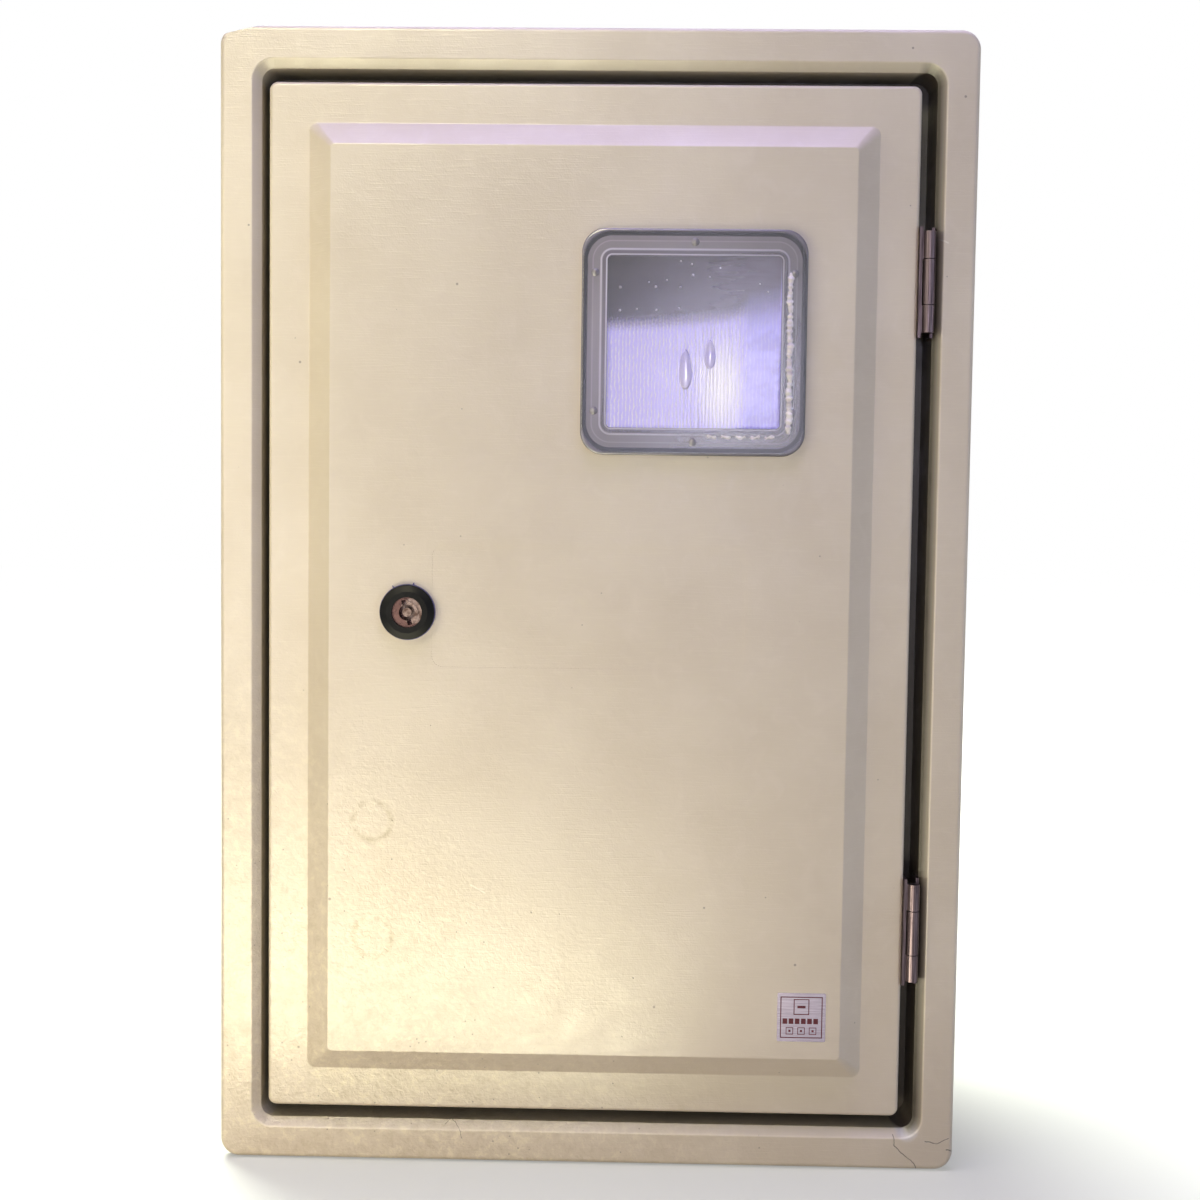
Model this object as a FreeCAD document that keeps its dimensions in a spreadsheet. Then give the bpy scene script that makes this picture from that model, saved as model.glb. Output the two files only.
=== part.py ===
"""Flush electric meter box moulded in glass-reinforced polyester, with a hinged and windowed door.

Frame: millimetres, +Z up, +X to the right when looking at the door, and the door faces -Y.
The origin is the centre of the four wall fixings, on the outer back face of the box.
A distance called "ahead" is measured from that back face towards the door, so it is -Y.
"""
import FreeCAD, Part
import math
import os
import Sketcher

V = FreeCAD.Vector

# Stiffening ribs across the lower half of the door.
DOOR_RIBS = 3
# Directions of the two flash nibs of the lock's seal, in degrees from the right.
NIB_ANGLES = (78, 120)

# Driving dimensions, in millimetres and degrees.
SIZES = {
    # Wall flange and its frame opening
    "flange_width": 400,
    "flange_height": 610,
    "flange_corner": 10,
    "flange_return": 8,
    "flange_edge_round": 2.5,
    "frame_margin": 21.5,
    "frame_corner": 7,
    "lip_slope": 4.5,
    "lip_round": 1.2,
    # Break at the upper left corner of the flange, as seen from the front
    "chip_side": 8,
    "chip_shoulder_in": 2,
    "chip_shoulder_down": 4.8,
    "chip_top": 22,
    # Box
    "box_depth": 200,
    "box_wall": 4,
    "box_draft": 1.5,
    "box_back_round": 6,
    "gutter_depth": 30,
    "gutter_width": 18,
    "rim_height": 19,
    "rim_corner": 16,
    "mouth_depth": 29,
    # Wall fixings and knock-outs
    "fixing_inset_across": 22.5,
    "fixing_inset_down": 45.5,
    "fixing_radius": 3.5,
    "knockout_radius": 20,
    "knockout_groove": 1.6,
    "knockout_skin": 1.4,
    "knockout_across": 120,
    "knockout_ahead": 95,
    "cutter_overrun": 2,
    # Mounting plate and what holds it
    "plate_margin_across": 35.5,
    "plate_margin_down": 25.5,
    "plate_wall": 1.5,
    "plate_corner": 6,
    "plate_hole_inset": 14,
    "boss_radius": 8,
    "boss_height": 12,
    "insert_radius": 4,
    "insert_length": 10,
    "insert_bore": 2.1,
    "insert_floor": 1,
    "screw_radius": 2,
    "screw_head_radius": 4,
    "screw_head_height": 2.6,
    "screw_head_round": 1.15,
    "screw_slot": 1,
    "screw_reach": 8,
    "washer_radius": 5.5,
    "washer_wall": 1,
    "screw_clearance": 0.1,
    "thread_clearance": 0.02,
    # Meter slots and keyhole in the plate
    "meter_across": 110,
    "meter_slot_length": 24,
    "meter_slot_radius": 2.6,
    "meter_slot_up": 10,
    "keyhole_inset": 14,
    "keyhole_radius": 5.5,
    "keyhole_neck": 9,
    # Device rail
    "rail_inset": 35,
    "rail_height": 35,
    "rail_rise": 7.5,
    "rail_crown": 27,
    "rail_wall": 1,
    "rail_lift": 150,
    "rail_screw_inset": 30,
    "rail_screw_tail": 2,
    # Earth stud
    "earth_inset_across": 30,
    "earth_inset_down": 45,
    "earth_radius": 3,
    "earth_length": 30,
    "earth_chamfer": 0.6,
    "earth_nut_flats": 10,
    "earth_nut_height": 5,
    "earth_head_height": 4,
    "earth_washer_radius": 6.5,
    # Door
    "door_gap_left": 4.5,
    "door_gap_right": 8.5,
    "door_gap_top": 7.5,
    "door_gap_bottom": 7.5,
    "door_recess": 1,
    "door_depth": 14,
    "door_wall": 4,
    "door_corner": 4.5,
    "door_inner_corner": 1.5,
    "door_edge_round": 2,
    "panel_border": 21.5,
    "panel_bevel": 12.5,
    "panel_rise": 9.5,
    "panel_inset": 1.35,
    "panel_foot_corner": 4.5,
    "panel_top_corner": 2.5,
    "panel_edge_round": 1.2,
    "door_rib_wall": 3,
    "door_rib_height": 6,
    "door_rib_pitch": 60,
    "door_rib_down": 60,
    "mark_width": 166,
    "mark_height": 65,
    "mark_corner": 6,
    "mark_depth": 0.25,
    # Door gasket
    "gasket_width": 9,
    "gasket_gap": 0.3,
    "gasket_rib_wall": 2,
    "gasket_rib_height": 4,
    # Hinges
    "hinge_inset": 102.2,
    "hinge_leaf_height": 58,
    "hinge_leaf_wall": 1.6,
    "hinge_leaf_chamfer": 3,
    "hinge_barrel_radius": 3.2,
    "hinge_barrel_proud": 1,
    "hinge_barrel_height": 53,
    "hinge_middle_knuckle": 24,
    "hinge_knuckle_gap": 0.4,
    "hinge_seam": 0.45,
    "hinge_pin_radius": 1.5,
    "hinge_pin_clearance": 0.05,
    "frame_leaf_back": 17,
    "frame_leaf_front": 2.8,
    "door_leaf_back": 13.5,
    "rivet_radius": 2,
    "rivet_head_radius": 3.6,
    "rivet_head_height": 1.2,
    "rivet_tail_radius": 2.7,
    "rivet_tail_height": 2.2,
    "rivet_spread": 34,
    "frame_rivet_back": 10,
    "door_rivet_back": 8,
    # Lock
    "lock_inset": 76,
    "lock_drop": 3.5,
    "lock_bezel_radius": 14.5,
    "lock_bezel_height": 4,
    "lock_bezel_slope": 1.5,
    "lock_bezel_crown": 11,
    "lock_bezel_round": 0.8,
    "lock_seal_radius": 14.9,
    "lock_seal_wall": 0.8,
    "lock_nib": 1.3,
    "lock_nib_root": 0.6,
    "lock_nib_spread": 3.5,
    "lock_barrel_radius": 11,
    "lock_barrel_flat": 20,
    "lock_barrel_length": 25,
    "lock_fit": 0.2,
    "lock_nut_flats": 27,
    "lock_nut_height": 5.5,
    "core_radius": 8,
    "core_depth": 9,
    "core_sunk": 1,
    "core_shank_radius": 6,
    "core_fit": 0.08,
    "core_hub_radius": 5.9,
    "core_hub_rise": 0.8,
    "core_lobe_wall": 0.9,
    "core_square": 8,
    "square_fit": 0.03,
    "bit_radius": 4.25,
    "bit_pin_radius": 2.4,
    "bit_pin_sunk": 1.2,
    "bit_depth": 9,
    "bit_wing": 6.8,
    "bit_wing_root": 3.4,
    "bit_wing_width": 2.5,
    "bit_turn": 16,
    "cam_wall": 3,
    "cam_width": 18,
    "cam_tip_gap": 6.5,
    "cam_running_gap": 0.3,
    "cam_screw_radius": 2.5,
    "cam_screw_reach": 9,
    "cam_screw_flats": 8,
    "cam_screw_head": 3.5,
    "cam_washer_radius": 7.5,
    "cam_washer_wall": 1.2,
    # Strike plate that the cam turns behind
    "strike_wall": 2,
    "strike_height": 34,
    "strike_reach": 12,
    "strike_back": 22,
    "strike_cam_gap": 1.5,
    "strike_rivet_spread": 18,
    "strike_rivet_back": 13,
    # Window
    "window_inset": 118.5,
    "window_drop": 136,
    "lens_size": 118,
    "lens_corner": 12.5,
    "lens_wall": 2.5,
    "lens_lip": 1.8,
    "lens_edge_round": 1.2,
    "pane_width": 95,
    "pane_height": 93.5,
    "pane_corner": 3,
    "pane_step": 1.2,
    "pane_ridge": 2,
    "pane_plug": 4.2,
    "pane_wall": 2.6,
    "window_fit": 1,
    "seal_width": 2.8,
    "seal_wall": 1.2,
    "seal_inset": 0.1,
    "stud_radius": 1.9,
    "stud_reach": 3,
    "stud_from_middle": 52,
    "stud_spread": 72,
    "stud_fit": 0.15,
    "clip_radius": 4.4,
    "clip_wall": 0.8,
    # Plain foil label
    "label_inset": 54.7,
    "label_lift": 57,
    "label_width": 26,
    "label_height": 26.5,
    "label_corner": 0.8,
    "label_wall": 0.2,
}


class Size:
    """A length with its number and the sheet formula that gives it."""

    def __init__(self, text, value):
        self.text = text
        self.value = value

    def __add__(self, other):
        other = size(other)
        return Size(f"({self.text} + {other.text})", self.value + other.value)

    def __sub__(self, other):
        other = size(other)
        return Size(f"({self.text} - {other.text})", self.value - other.value)

    def __mul__(self, other):
        other = size(other)
        return Size(f"({self.text} * {other.text})", self.value * other.value)

    def __truediv__(self, other):
        other = size(other)
        return Size(f"({self.text} / {other.text})", self.value / other.value)

    def __neg__(self):
        return Size(f"(0 - {self.text})", -self.value)


def size(item):
    """Makes a plain number a Size."""
    return item if isinstance(item, Size) else Size(repr(item), float(item))


def tangent(angle):
    """The tangent of an angle in degrees."""
    return Size(f"tan({angle.text} * 1 deg)", math.tan(math.radians(angle.value)))


doc = FreeCAD.newDocument("meter_box")
sheet = doc.addObject("Spreadsheet::Sheet", "Sizes")
for row, (alias, number) in enumerate(SIZES.items(), start=1):
    sheet.set(f"A{row}", str(number))
    sheet.setAlias(f"A{row}", alias)
doc.recompute()


class Sheet:
    """Gives each aliased cell of the sheet as a Size."""

    def __getattr__(self, alias):
        return Size(f"Sizes.{alias}", float(SIZES[alias]))


S = Sheet()
ZERO = size(0)

# Places worked out from the driving dimensions. "Half" is measured from the middle of the box.
open_half_x = S.flange_width / 2 - S.frame_margin
open_half_z = S.flange_height / 2 - S.frame_margin
rim_half_x = open_half_x - S.gutter_width
rim_half_z = open_half_z - S.gutter_width
mouth_half_x = rim_half_x - S.box_wall
mouth_half_z = rim_half_z - S.box_wall
flange_back = S.box_depth - S.box_wall
gutter_floor = S.box_depth - S.gutter_depth
tub_top = gutter_floor - S.box_wall
rim_top = gutter_floor + S.rim_height
mouth_back = rim_top - S.mouth_depth
boss_top = S.box_wall + S.boss_height
plate_top = boss_top + S.plate_wall

fixing_x = rim_half_x - S.fixing_inset_across
fixing_z = rim_half_z - S.fixing_inset_down
plate_half_x = rim_half_x - S.plate_margin_across
plate_half_z = rim_half_z - S.plate_margin_down
rail_half = plate_half_x - S.rail_inset
rail_z = S.rail_lift - plate_half_z
earth_x = plate_half_x - S.earth_inset_across
earth_z = S.earth_inset_down - plate_half_z
keyhole_z = plate_half_z - S.keyhole_inset

door_left = S.door_gap_left - open_half_x
door_right = open_half_x - S.door_gap_right
door_top = open_half_z - S.door_gap_top
door_bottom = S.door_gap_bottom - open_half_z
door_width = door_right - door_left
door_height = door_top - door_bottom
door_x = (door_left + door_right) / 2
door_z = (door_top + door_bottom) / 2
door_face = S.box_depth - S.door_recess
door_inside = door_face - S.door_wall
door_back = door_face - S.door_depth
panel_face = door_face + S.panel_rise
panel_inside = panel_face - S.door_wall

axis_x = open_half_x - S.hinge_barrel_radius
axis_ahead = S.box_depth + S.hinge_barrel_proud
hinge_places = {"upper": door_top - S.hinge_inset, "lower": door_bottom + S.hinge_inset}

lock_x = door_left + S.lock_inset
lock_z = door_z - S.lock_drop
bezel_back = panel_face + S.lock_seal_wall
bezel_face = bezel_back + S.lock_bezel_height
barrel_end = bezel_back - S.lock_barrel_length
cam_front = barrel_end - S.cam_running_gap
cam_back = cam_front - S.cam_wall
core_face = bezel_face - S.core_sunk
core_seat = core_face - S.core_hub_rise - S.core_depth

window_x = door_right - S.window_inset
window_z = door_top - S.window_drop
lens_back = panel_face + S.seal_wall
lens_face = lens_back + S.lens_wall


def body(label, x=None, z=None, turn=None):
    """A PartDesign body with its own label, placed at x and z, and turned about the -Y axis."""
    made = doc.addObject("PartDesign::Body", label)
    made.Label = label
    made.AllowCompound = True
    spin = FreeCAD.Rotation(V(0, -1, 0), turn.value if turn else 0)
    made.Placement = FreeCAD.Placement(V(x.value if x else 0, 0, z.value if z else 0), spin)
    if x:
        made.setExpression(".Placement.Base.x", x.text)
    if z:
        made.setExpression(".Placement.Base.z", z.text)
    if turn:
        made.setExpression(".Placement.Rotation.Angle", turn.text)
    return made


def sketch(owner, at, plane="XZ_Plane"):
    """A sketch on an origin plane of its own body, moved along the plane's normal by the Size at.

    On XZ the sketch sees x and z and its normal looks ahead, on XY it sees x and y and its normal
    is +Z, and on YZ it sees y and z and its normal is +X.
    """
    made = owner.newObject("Sketcher::SketchObject", "outline")
    base = [item for item in owner.Origin.OriginFeatures if item.Role == plane][0]
    made.AttachmentSupport = [(base, "")]
    made.MapMode = "FlatFace"
    made.AttachmentOffset = FreeCAD.Placement(V(0, 0, at.value), FreeCAD.Rotation())
    made.setExpression(".AttachmentOffset.Base.z", at.text)
    return made


def bind(drawing, kind, first, second, amount):
    """Adds a driving distance between two points, each a pair of geometry and point number."""
    index = drawing.addConstraint(Sketcher.Constraint(kind, *first, *second, amount.value))
    drawing.setExpression(f"Constraints[{index}]", amount.text)


def bind_radius(drawing, curve, radius):
    index = drawing.addConstraint(Sketcher.Constraint("Radius", curve, radius.value))
    drawing.setExpression(f"Constraints[{index}]", radius.text)


def place(drawing, curve, point, x, y):
    """Ties a point of the drawing to its place by two driving distances from the origin."""
    bind(drawing, "DistanceX", (-1, 1), (curve, point), x)
    bind(drawing, "DistanceY", (-1, 1), (curve, point), y)


def circle(drawing, radius, x=None, y=None):
    curve = drawing.addGeometry(
        Part.Circle(V(x.value if x else 0, y.value if y else 0, 0), V(0, 0, 1), radius.value))
    bind_radius(drawing, curve, radius)
    if x is None and y is None:
        drawing.addConstraint(Sketcher.Constraint("Coincident", curve, 3, -1, 1))
    else:
        place(drawing, curve, 3, size(x or 0), size(y or 0))
    return curve


def polygon(drawing, corners):
    """A closed outline of straight edges through corners, each a pair of Sizes."""
    first = drawing.GeometryCount
    count = len(corners)
    for index in range(count):
        ax, ay = corners[index]
        bx, by = corners[(index + 1) % count]
        drawing.addGeometry(
            Part.LineSegment(V(ax.value, ay.value, 0), V(bx.value, by.value, 0)))
    for index in range(count):
        following = first + (index + 1) % count
        drawing.addConstraint(Sketcher.Constraint("Coincident", first + index, 2, following, 1))
    for index, (x, y) in enumerate(corners):
        place(drawing, first + index, 1, x, y)


def rectangle(drawing, left, right, low, high):
    polygon(drawing, [(left, low), (right, low), (right, high), (left, high)])


def regular_hexagon(drawing, flats, x=ZERO, y=ZERO):
    """A hexagon of that size across its flats, with two corners on the drawing's horizontal."""
    reach = flats / size(math.sqrt(3))
    corners = []
    for step in range(6):
        angle = math.radians(60 * step)
        corners.append((x + reach * round(math.cos(angle), 6), y + reach * round(math.sin(angle), 6)))
    polygon(drawing, corners)


def rounded(drawing, half_x, half_y, corner, x=ZERO, y=ZERO):
    """A rounded rectangle about x and y, given by its half sizes."""
    cx, cy, r = x.value, y.value, corner.value
    left, right = cx - half_x.value, cx + half_x.value
    low, high = cy - half_y.value, cy + half_y.value
    n = drawing.GeometryCount
    turns = [(right - r, low + r, -90), (right - r, high - r, 0),
             (left + r, high - r, 90), (left + r, low + r, 180)]
    lines = [((left + r, low), (right - r, low)), ((right, low + r), (right, high - r)),
             ((right - r, high), (left + r, high)), ((left, high - r), (left, low + r))]
    for (start, end), (ax, ay, angle) in zip(lines, turns):
        drawing.addGeometry(Part.LineSegment(V(*start, 0), V(*end, 0)))
        arc = Part.Circle(V(ax, ay, 0), V(0, 0, 1), r)
        drawing.addGeometry(
            Part.ArcOfCircle(arc, math.radians(angle), math.radians(angle + 90)))
    for step in range(8):
        drawing.addConstraint(Sketcher.Constraint("Tangent", n + step, 2, n + (step + 1) % 8, 1))
    for step in (0, 4):
        drawing.addConstraint(Sketcher.Constraint("Horizontal", n + step))
        drawing.addConstraint(Sketcher.Constraint("Vertical", n + step + 2))
    for step in (3, 5, 7):
        drawing.addConstraint(Sketcher.Constraint("Equal", n + 1, n + step))
    bind_radius(drawing, n + 1, corner)
    bind(drawing, "DistanceX", (n + 6, 1), (n + 2, 1), half_x * 2)
    bind(drawing, "DistanceY", (n, 1), (n + 4, 1), half_y * 2)
    bind(drawing, "DistanceX", (-1, 1), (n + 6, 1), x - half_x)
    bind(drawing, "DistanceY", (-1, 1), (n, 1), y - half_y)


def slot(drawing, half_length, radius, x, y, upright=False):
    """A straight slot with round ends about x and y, given by half its whole length."""
    run = half_length - radius
    n = drawing.GeometryCount
    cx, cy, r, s = x.value, y.value, radius.value, run.value
    if upright:
        ends = [(cx, cy + s, 0), (cx, cy - s, 180)]
        sides = [((cx - r, cy + s), (cx - r, cy - s)), ((cx + r, cy - s), (cx + r, cy + s))]
        places = [(x, y + run), (x, y - run)]
    else:
        ends = [(cx + s, cy, -90), (cx - s, cy, 90)]
        sides = [((cx + s, cy + r), (cx - s, cy + r)), ((cx - s, cy - r), (cx + s, cy - r))]
        places = [(x + run, y), (x - run, y)]
    for (ax, ay, angle), (start, end) in zip(ends, sides):
        arc = Part.Circle(V(ax, ay, 0), V(0, 0, 1), r)
        drawing.addGeometry(
            Part.ArcOfCircle(arc, math.radians(angle), math.radians(angle + 180)))
        drawing.addGeometry(Part.LineSegment(V(*start, 0), V(*end, 0)))
    for step in range(4):
        drawing.addConstraint(Sketcher.Constraint("Tangent", n + step, 2, n + (step + 1) % 4, 1))
    bind_radius(drawing, n, radius)
    for step, (px, py) in zip((0, 2), places):
        if step == 0:
            place(drawing, n, 3, px, py)
        elif upright:
            bind(drawing, "DistanceY", (-1, 1), (n + 2, 3), py)
            drawing.addConstraint(Sketcher.Constraint("Vertical", n + 1))
        else:
            bind(drawing, "DistanceX", (-1, 1), (n + 2, 3), px)
            drawing.addConstraint(Sketcher.Constraint("Horizontal", n + 1))


def pad(owner, drawing, length, draft=None, backwards=False):
    """Adds material from the drawing along its normal."""
    made = owner.newObject("PartDesign::Pad", "pad")
    made.Profile = drawing
    made.setExpression("Length", length.text)
    made.Reversed = backwards
    if draft:
        made.setExpression("TaperAngle", draft.text)
    owner.Tip = made
    doc.recompute()
    return made


def pocket(owner, drawing, length, draft=None, backwards=False):
    """Removes material from the drawing against its normal, and checks that it did."""
    before = owner.Tip.Shape.Volume
    made = owner.newObject("PartDesign::Pocket", "pocket")
    made.Profile = drawing
    made.setExpression("Length", length.text)
    made.Reversed = backwards
    if draft:
        made.setExpression("TaperAngle", draft.text)
    owner.Tip = made
    doc.recompute()
    if made.Shape.isNull() or made.Shape.Volume >= before:
        raise RuntimeError(f"a pocket in {owner.Label} cuts nothing")
    return made


def revolve(owner, drawing):
    """Turns a drawing on the XY plane right round the body's own front to back axis."""
    made = owner.newObject("PartDesign::Revolution", "revolution")
    made.Profile = drawing
    made.ReferenceAxis = (drawing, ["V_Axis"])
    made.Angle = 360
    owner.Tip = made
    doc.recompute()
    return made


def loft(owner, start, end, cut=False):
    """Adds or removes a straight-sided loft between two drawings."""
    kind = "PartDesign::SubtractiveLoft" if cut else "PartDesign::AdditiveLoft"
    made = owner.newObject(kind, "loft")
    made.Profile = start
    made.Sections = [end]
    made.Ruled = True
    owner.Tip = made
    doc.recompute()
    return made


def edges(shape, test):
    """Names of the edges whose middle point and edge pass the test."""
    names = []
    for index, edge in enumerate(shape.Edges, start=1):
        middle = edge.valueAt((edge.FirstParameter + edge.LastParameter) / 2)
        if test(middle, edge):
            names.append(f"Edge{index}")
    return names


def near(a, b, slack=0.05):
    return abs(a - b) < slack


def level(edge, ahead):
    """True if the whole edge lies in the plane at that distance ahead of the back face."""
    box = edge.BoundBox
    return near(-box.YMin, ahead) and near(-box.YMax, ahead)


def dress(owner, kind, amount, test):
    """Fillets or chamfers the edges of the tip that pass the test."""
    tip = owner.Tip
    found = edges(tip.Shape, test)
    if not found:
        raise RuntimeError(f"no edge to dress in {owner.Label}")
    made = owner.newObject(f"PartDesign::{kind}", kind.lower())
    made.Base = (tip, found)
    made.setExpression("Radius" if kind == "Fillet" else "Size", amount.text)
    owner.Tip = made
    doc.recompute()
    return made


def discs(owner, plane, centres, layers):
    """Stacks discs of the given radii at every centre, each layer a start, a length and a radius."""
    for start, length, radius in layers:
        drawing = sketch(owner, start, plane)
        for x, y in centres:
            circle(drawing, radius, x, y)
        pad(owner, drawing, length)


def inside_box(point, half_x, half_z, slack=0.1):
    return abs(point.x) < half_x.value + slack and abs(point.z) < half_z.value + slack


def build_body_shell():
    """The one-piece moulding: tub, gutter, rim and wall flange."""
    made = body("body_shell")
    spread = tub_top * tangent(S.box_draft)
    back = sketch(made, ZERO)
    rounded(back, rim_half_x - spread, rim_half_z - spread, S.rim_corner - spread)
    pad(made, back, tub_top, draft=S.box_draft)
    gutter = sketch(made, tub_top)
    rounded(gutter, open_half_x + S.box_wall, open_half_z + S.box_wall, S.frame_corner + S.box_wall)
    pad(made, gutter, flange_back - tub_top)
    flange = sketch(made, flange_back)
    rounded(flange, S.flange_width / 2, S.flange_height / 2, S.flange_corner)
    pad(made, flange, S.box_wall)
    turned = sketch(made, flange_back)
    rounded(turned, S.flange_width / 2, S.flange_height / 2, S.flange_corner)
    rounded(turned, S.flange_width / 2 - S.box_wall, S.flange_height / 2 - S.box_wall,
            S.flange_corner - S.box_wall)
    pad(made, turned, S.flange_return - S.box_wall, backwards=True)
    opening = sketch(made, S.box_depth)
    rounded(opening, open_half_x, open_half_z, S.frame_corner)
    pocket(made, opening, S.box_depth - rim_top)
    channel = sketch(made, rim_top)
    rounded(channel, open_half_x, open_half_z, S.frame_corner)
    rounded(channel, rim_half_x, rim_half_z, S.rim_corner)
    pocket(made, channel, S.rim_height)
    mouth = sketch(made, rim_top)
    rounded(mouth, mouth_half_x, mouth_half_z, S.rim_corner - S.box_wall)
    pocket(made, mouth, S.mouth_depth)
    cavity = sketch(made, mouth_back)
    rounded(cavity, mouth_half_x, mouth_half_z, S.rim_corner - S.box_wall)
    pocket(made, cavity, mouth_back - S.box_wall, draft=-S.box_draft)
    dress(made, "Fillet", S.box_back_round,
          lambda p, e: level(e, 0) and inside_box(p, rim_half_x, rim_half_z))
    dress(made, "Chamfer", S.lip_slope,
          lambda p, e: level(e, S.box_depth.value) and inside_box(p, open_half_x, open_half_z))
    lip_x, lip_z = open_half_x + S.lip_slope, open_half_z + S.lip_slope
    dress(made, "Fillet", S.lip_round,
          lambda p, e: level(e, S.box_depth.value) and inside_box(p, lip_x, lip_z))
    lip_x, lip_z = lip_x + S.lip_round, lip_z + S.lip_round
    dress(made, "Fillet", S.flange_edge_round,
          lambda p, e: level(e, S.box_depth.value) and not inside_box(p, lip_x, lip_z))
    add_bosses(made)
    cut_fixings(made)
    cut_knockouts(made)
    cut_rivet_holes(made)
    cut_chip(made)
    return made


def plate_hole_places():
    across = plate_half_x - S.plate_hole_inset
    down = plate_half_z - S.plate_hole_inset
    return [(across * a, down * b) for a in (-1, 1) for b in (-1, 1)]


def add_bosses(made):
    """Four bosses on the back wall, bored for the threaded inserts."""
    feet = sketch(made, S.box_wall)
    for x, z in plate_hole_places():
        circle(feet, S.boss_radius, x, z)
    pad(made, feet, S.boss_height)
    bores = sketch(made, boss_top)
    for x, z in plate_hole_places():
        circle(bores, S.insert_radius, x, z)
    pocket(made, bores, S.insert_length)


def cut_fixings(made):
    holes = sketch(made, S.box_wall)
    for a in (-1, 1):
        for b in (-1, 1):
            circle(holes, S.fixing_radius, fixing_x * a, fixing_z * b)
    pocket(made, holes, S.box_wall)


def cut_knockouts(made):
    """Ring grooves that leave a thin skin, two in the roof and two in the floor of the tub."""
    wall_z = rim_half_z - (tub_top - S.knockout_ahead) * tangent(S.box_draft)
    depth = S.box_wall - S.knockout_skin
    for side in (1, -1):
        ring = sketch(made, (wall_z + S.cutter_overrun) * side, "XY_Plane")
        for a in (-1, 1):
            x = S.knockout_across / 2 * a
            circle(ring, S.knockout_radius, x, -S.knockout_ahead)
            circle(ring, S.knockout_radius - S.knockout_groove, x, -S.knockout_ahead)
        pocket(made, ring, depth + S.cutter_overrun, backwards=side < 0)


def hinge_rivet_places(back):
    """Rivet centres as y and z, at that distance behind the flange's face."""
    return [(back - S.box_depth, middle + S.rivet_spread / 2 * b)
            for middle in hinge_places.values() for b in (-1, 1)]


def strike_rivet_places():
    return [(-(rim_top - S.strike_rivet_back), lock_z + S.strike_rivet_spread / 2 * b) for b in (-1, 1)]


def cut_rivet_holes(made):
    """Holes through the frame wall for the hinges and through the rim for the strike plate."""
    right = sketch(made, open_half_x, "YZ_Plane")
    for y, z in hinge_rivet_places(S.frame_rivet_back):
        circle(right, S.rivet_radius, y, z)
    pocket(made, right, S.box_wall, backwards=True)
    left = sketch(made, -mouth_half_x, "YZ_Plane")
    for y, z in strike_rivet_places():
        circle(left, S.rivet_radius, y, z)
    pocket(made, left, S.box_wall)


def cut_chip(made):
    """The broken upper left corner of the flange."""
    left = -S.flange_width / 2
    top = S.flange_height / 2
    beyond = S.cutter_overrun
    cut = sketch(made, S.box_depth)
    polygon(cut, [(left - beyond, top - S.chip_side),
                  (left, top - S.chip_side),
                  (left + S.chip_shoulder_in, top - S.chip_shoulder_down),
                  (left + S.chip_top, top),
                  (left + S.chip_top, top + beyond),
                  (left - beyond, top + beyond)])
    pocket(made, cut, S.flange_return)


def build_mounting_parts():
    """The mounting plate with its inserts, screws, rail and earth stud."""
    inserts = body("brass_inserts")
    discs(inserts, "XZ_Plane", plate_hole_places(),
          [(boss_top - S.insert_length, S.insert_length, S.insert_radius)])
    bores = sketch(inserts, boss_top)
    for x, z in plate_hole_places():
        circle(bores, S.insert_bore, x, z)
    pocket(inserts, bores, S.insert_length - S.insert_floor)

    plate = body("mounting_plate")
    outline = sketch(plate, boss_top)
    rounded(outline, plate_half_x, plate_half_z, S.plate_corner)
    pad(plate, outline, S.plate_wall)
    holes = sketch(plate, plate_top)
    for x, z in plate_hole_places():
        circle(holes, S.screw_radius + S.screw_clearance * 3, x, z)
    for x, z in rail_screw_places():
        circle(holes, S.screw_radius, x, z)
    circle(holes, S.earth_radius + S.screw_clearance, earth_x, earth_z)
    pocket(plate, holes, S.plate_wall)
    slots = sketch(plate, plate_top)
    for side in (-1, 1):
        slot(slots, S.meter_slot_length / 2, S.meter_slot_radius,
             window_x + S.meter_across / 2 * side, S.meter_slot_up)
    pocket(plate, slots, S.plate_wall)
    eye = sketch(plate, plate_top)
    circle(eye, S.keyhole_radius, window_x, keyhole_z)
    pocket(plate, eye, S.plate_wall)
    neck = sketch(plate, plate_top)
    slot(neck, S.keyhole_neck, S.meter_slot_radius, window_x, keyhole_z + S.keyhole_neck / 2, upright=True)
    pocket(plate, neck, S.plate_wall)

    washers = body("plate_washers")
    discs(washers, "XZ_Plane", plate_hole_places(), [(plate_top, S.washer_wall, S.washer_radius)])
    bores = sketch(washers, plate_top + S.washer_wall)
    for x, z in plate_hole_places():
        circle(bores, S.screw_radius + S.screw_clearance, x, z)
    pocket(washers, bores, S.washer_wall)

    screws = body("plate_screws")
    seat = plate_top + S.washer_wall
    pan_screws(screws, plate_hole_places(), seat, seat - boss_top + S.screw_reach)

    rail = body("device_rail")
    half, crown = S.rail_height / 2, S.rail_crown / 2
    wall, rise = S.rail_wall, S.rail_rise
    low = -plate_top
    middle = rail_z
    profile = sketch(rail, -rail_half, "YZ_Plane")
    lip = low - rise + wall
    polygon(profile, [(low, middle - crown), (low, middle + crown), (lip, middle + crown),
                      (lip, middle + half), (low - rise, middle + half),
                      (low - rise, middle + crown - wall), (low - wall, middle + crown - wall),
                      (low - wall, middle - crown + wall), (low - rise, middle - crown + wall),
                      (low - rise, middle - half), (lip, middle - half), (lip, middle - crown)])
    pad(rail, profile, rail_half * 2)
    bores = sketch(rail, plate_top + wall)
    for x, z in rail_screw_places():
        circle(bores, S.screw_radius + S.screw_clearance, x, z)
    pocket(rail, bores, wall)

    rail_screws = body("rail_screws")
    pan_screws(rail_screws, rail_screw_places(), plate_top + wall,
               wall + S.plate_wall + S.rail_screw_tail)
    build_earth_stud()


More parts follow.
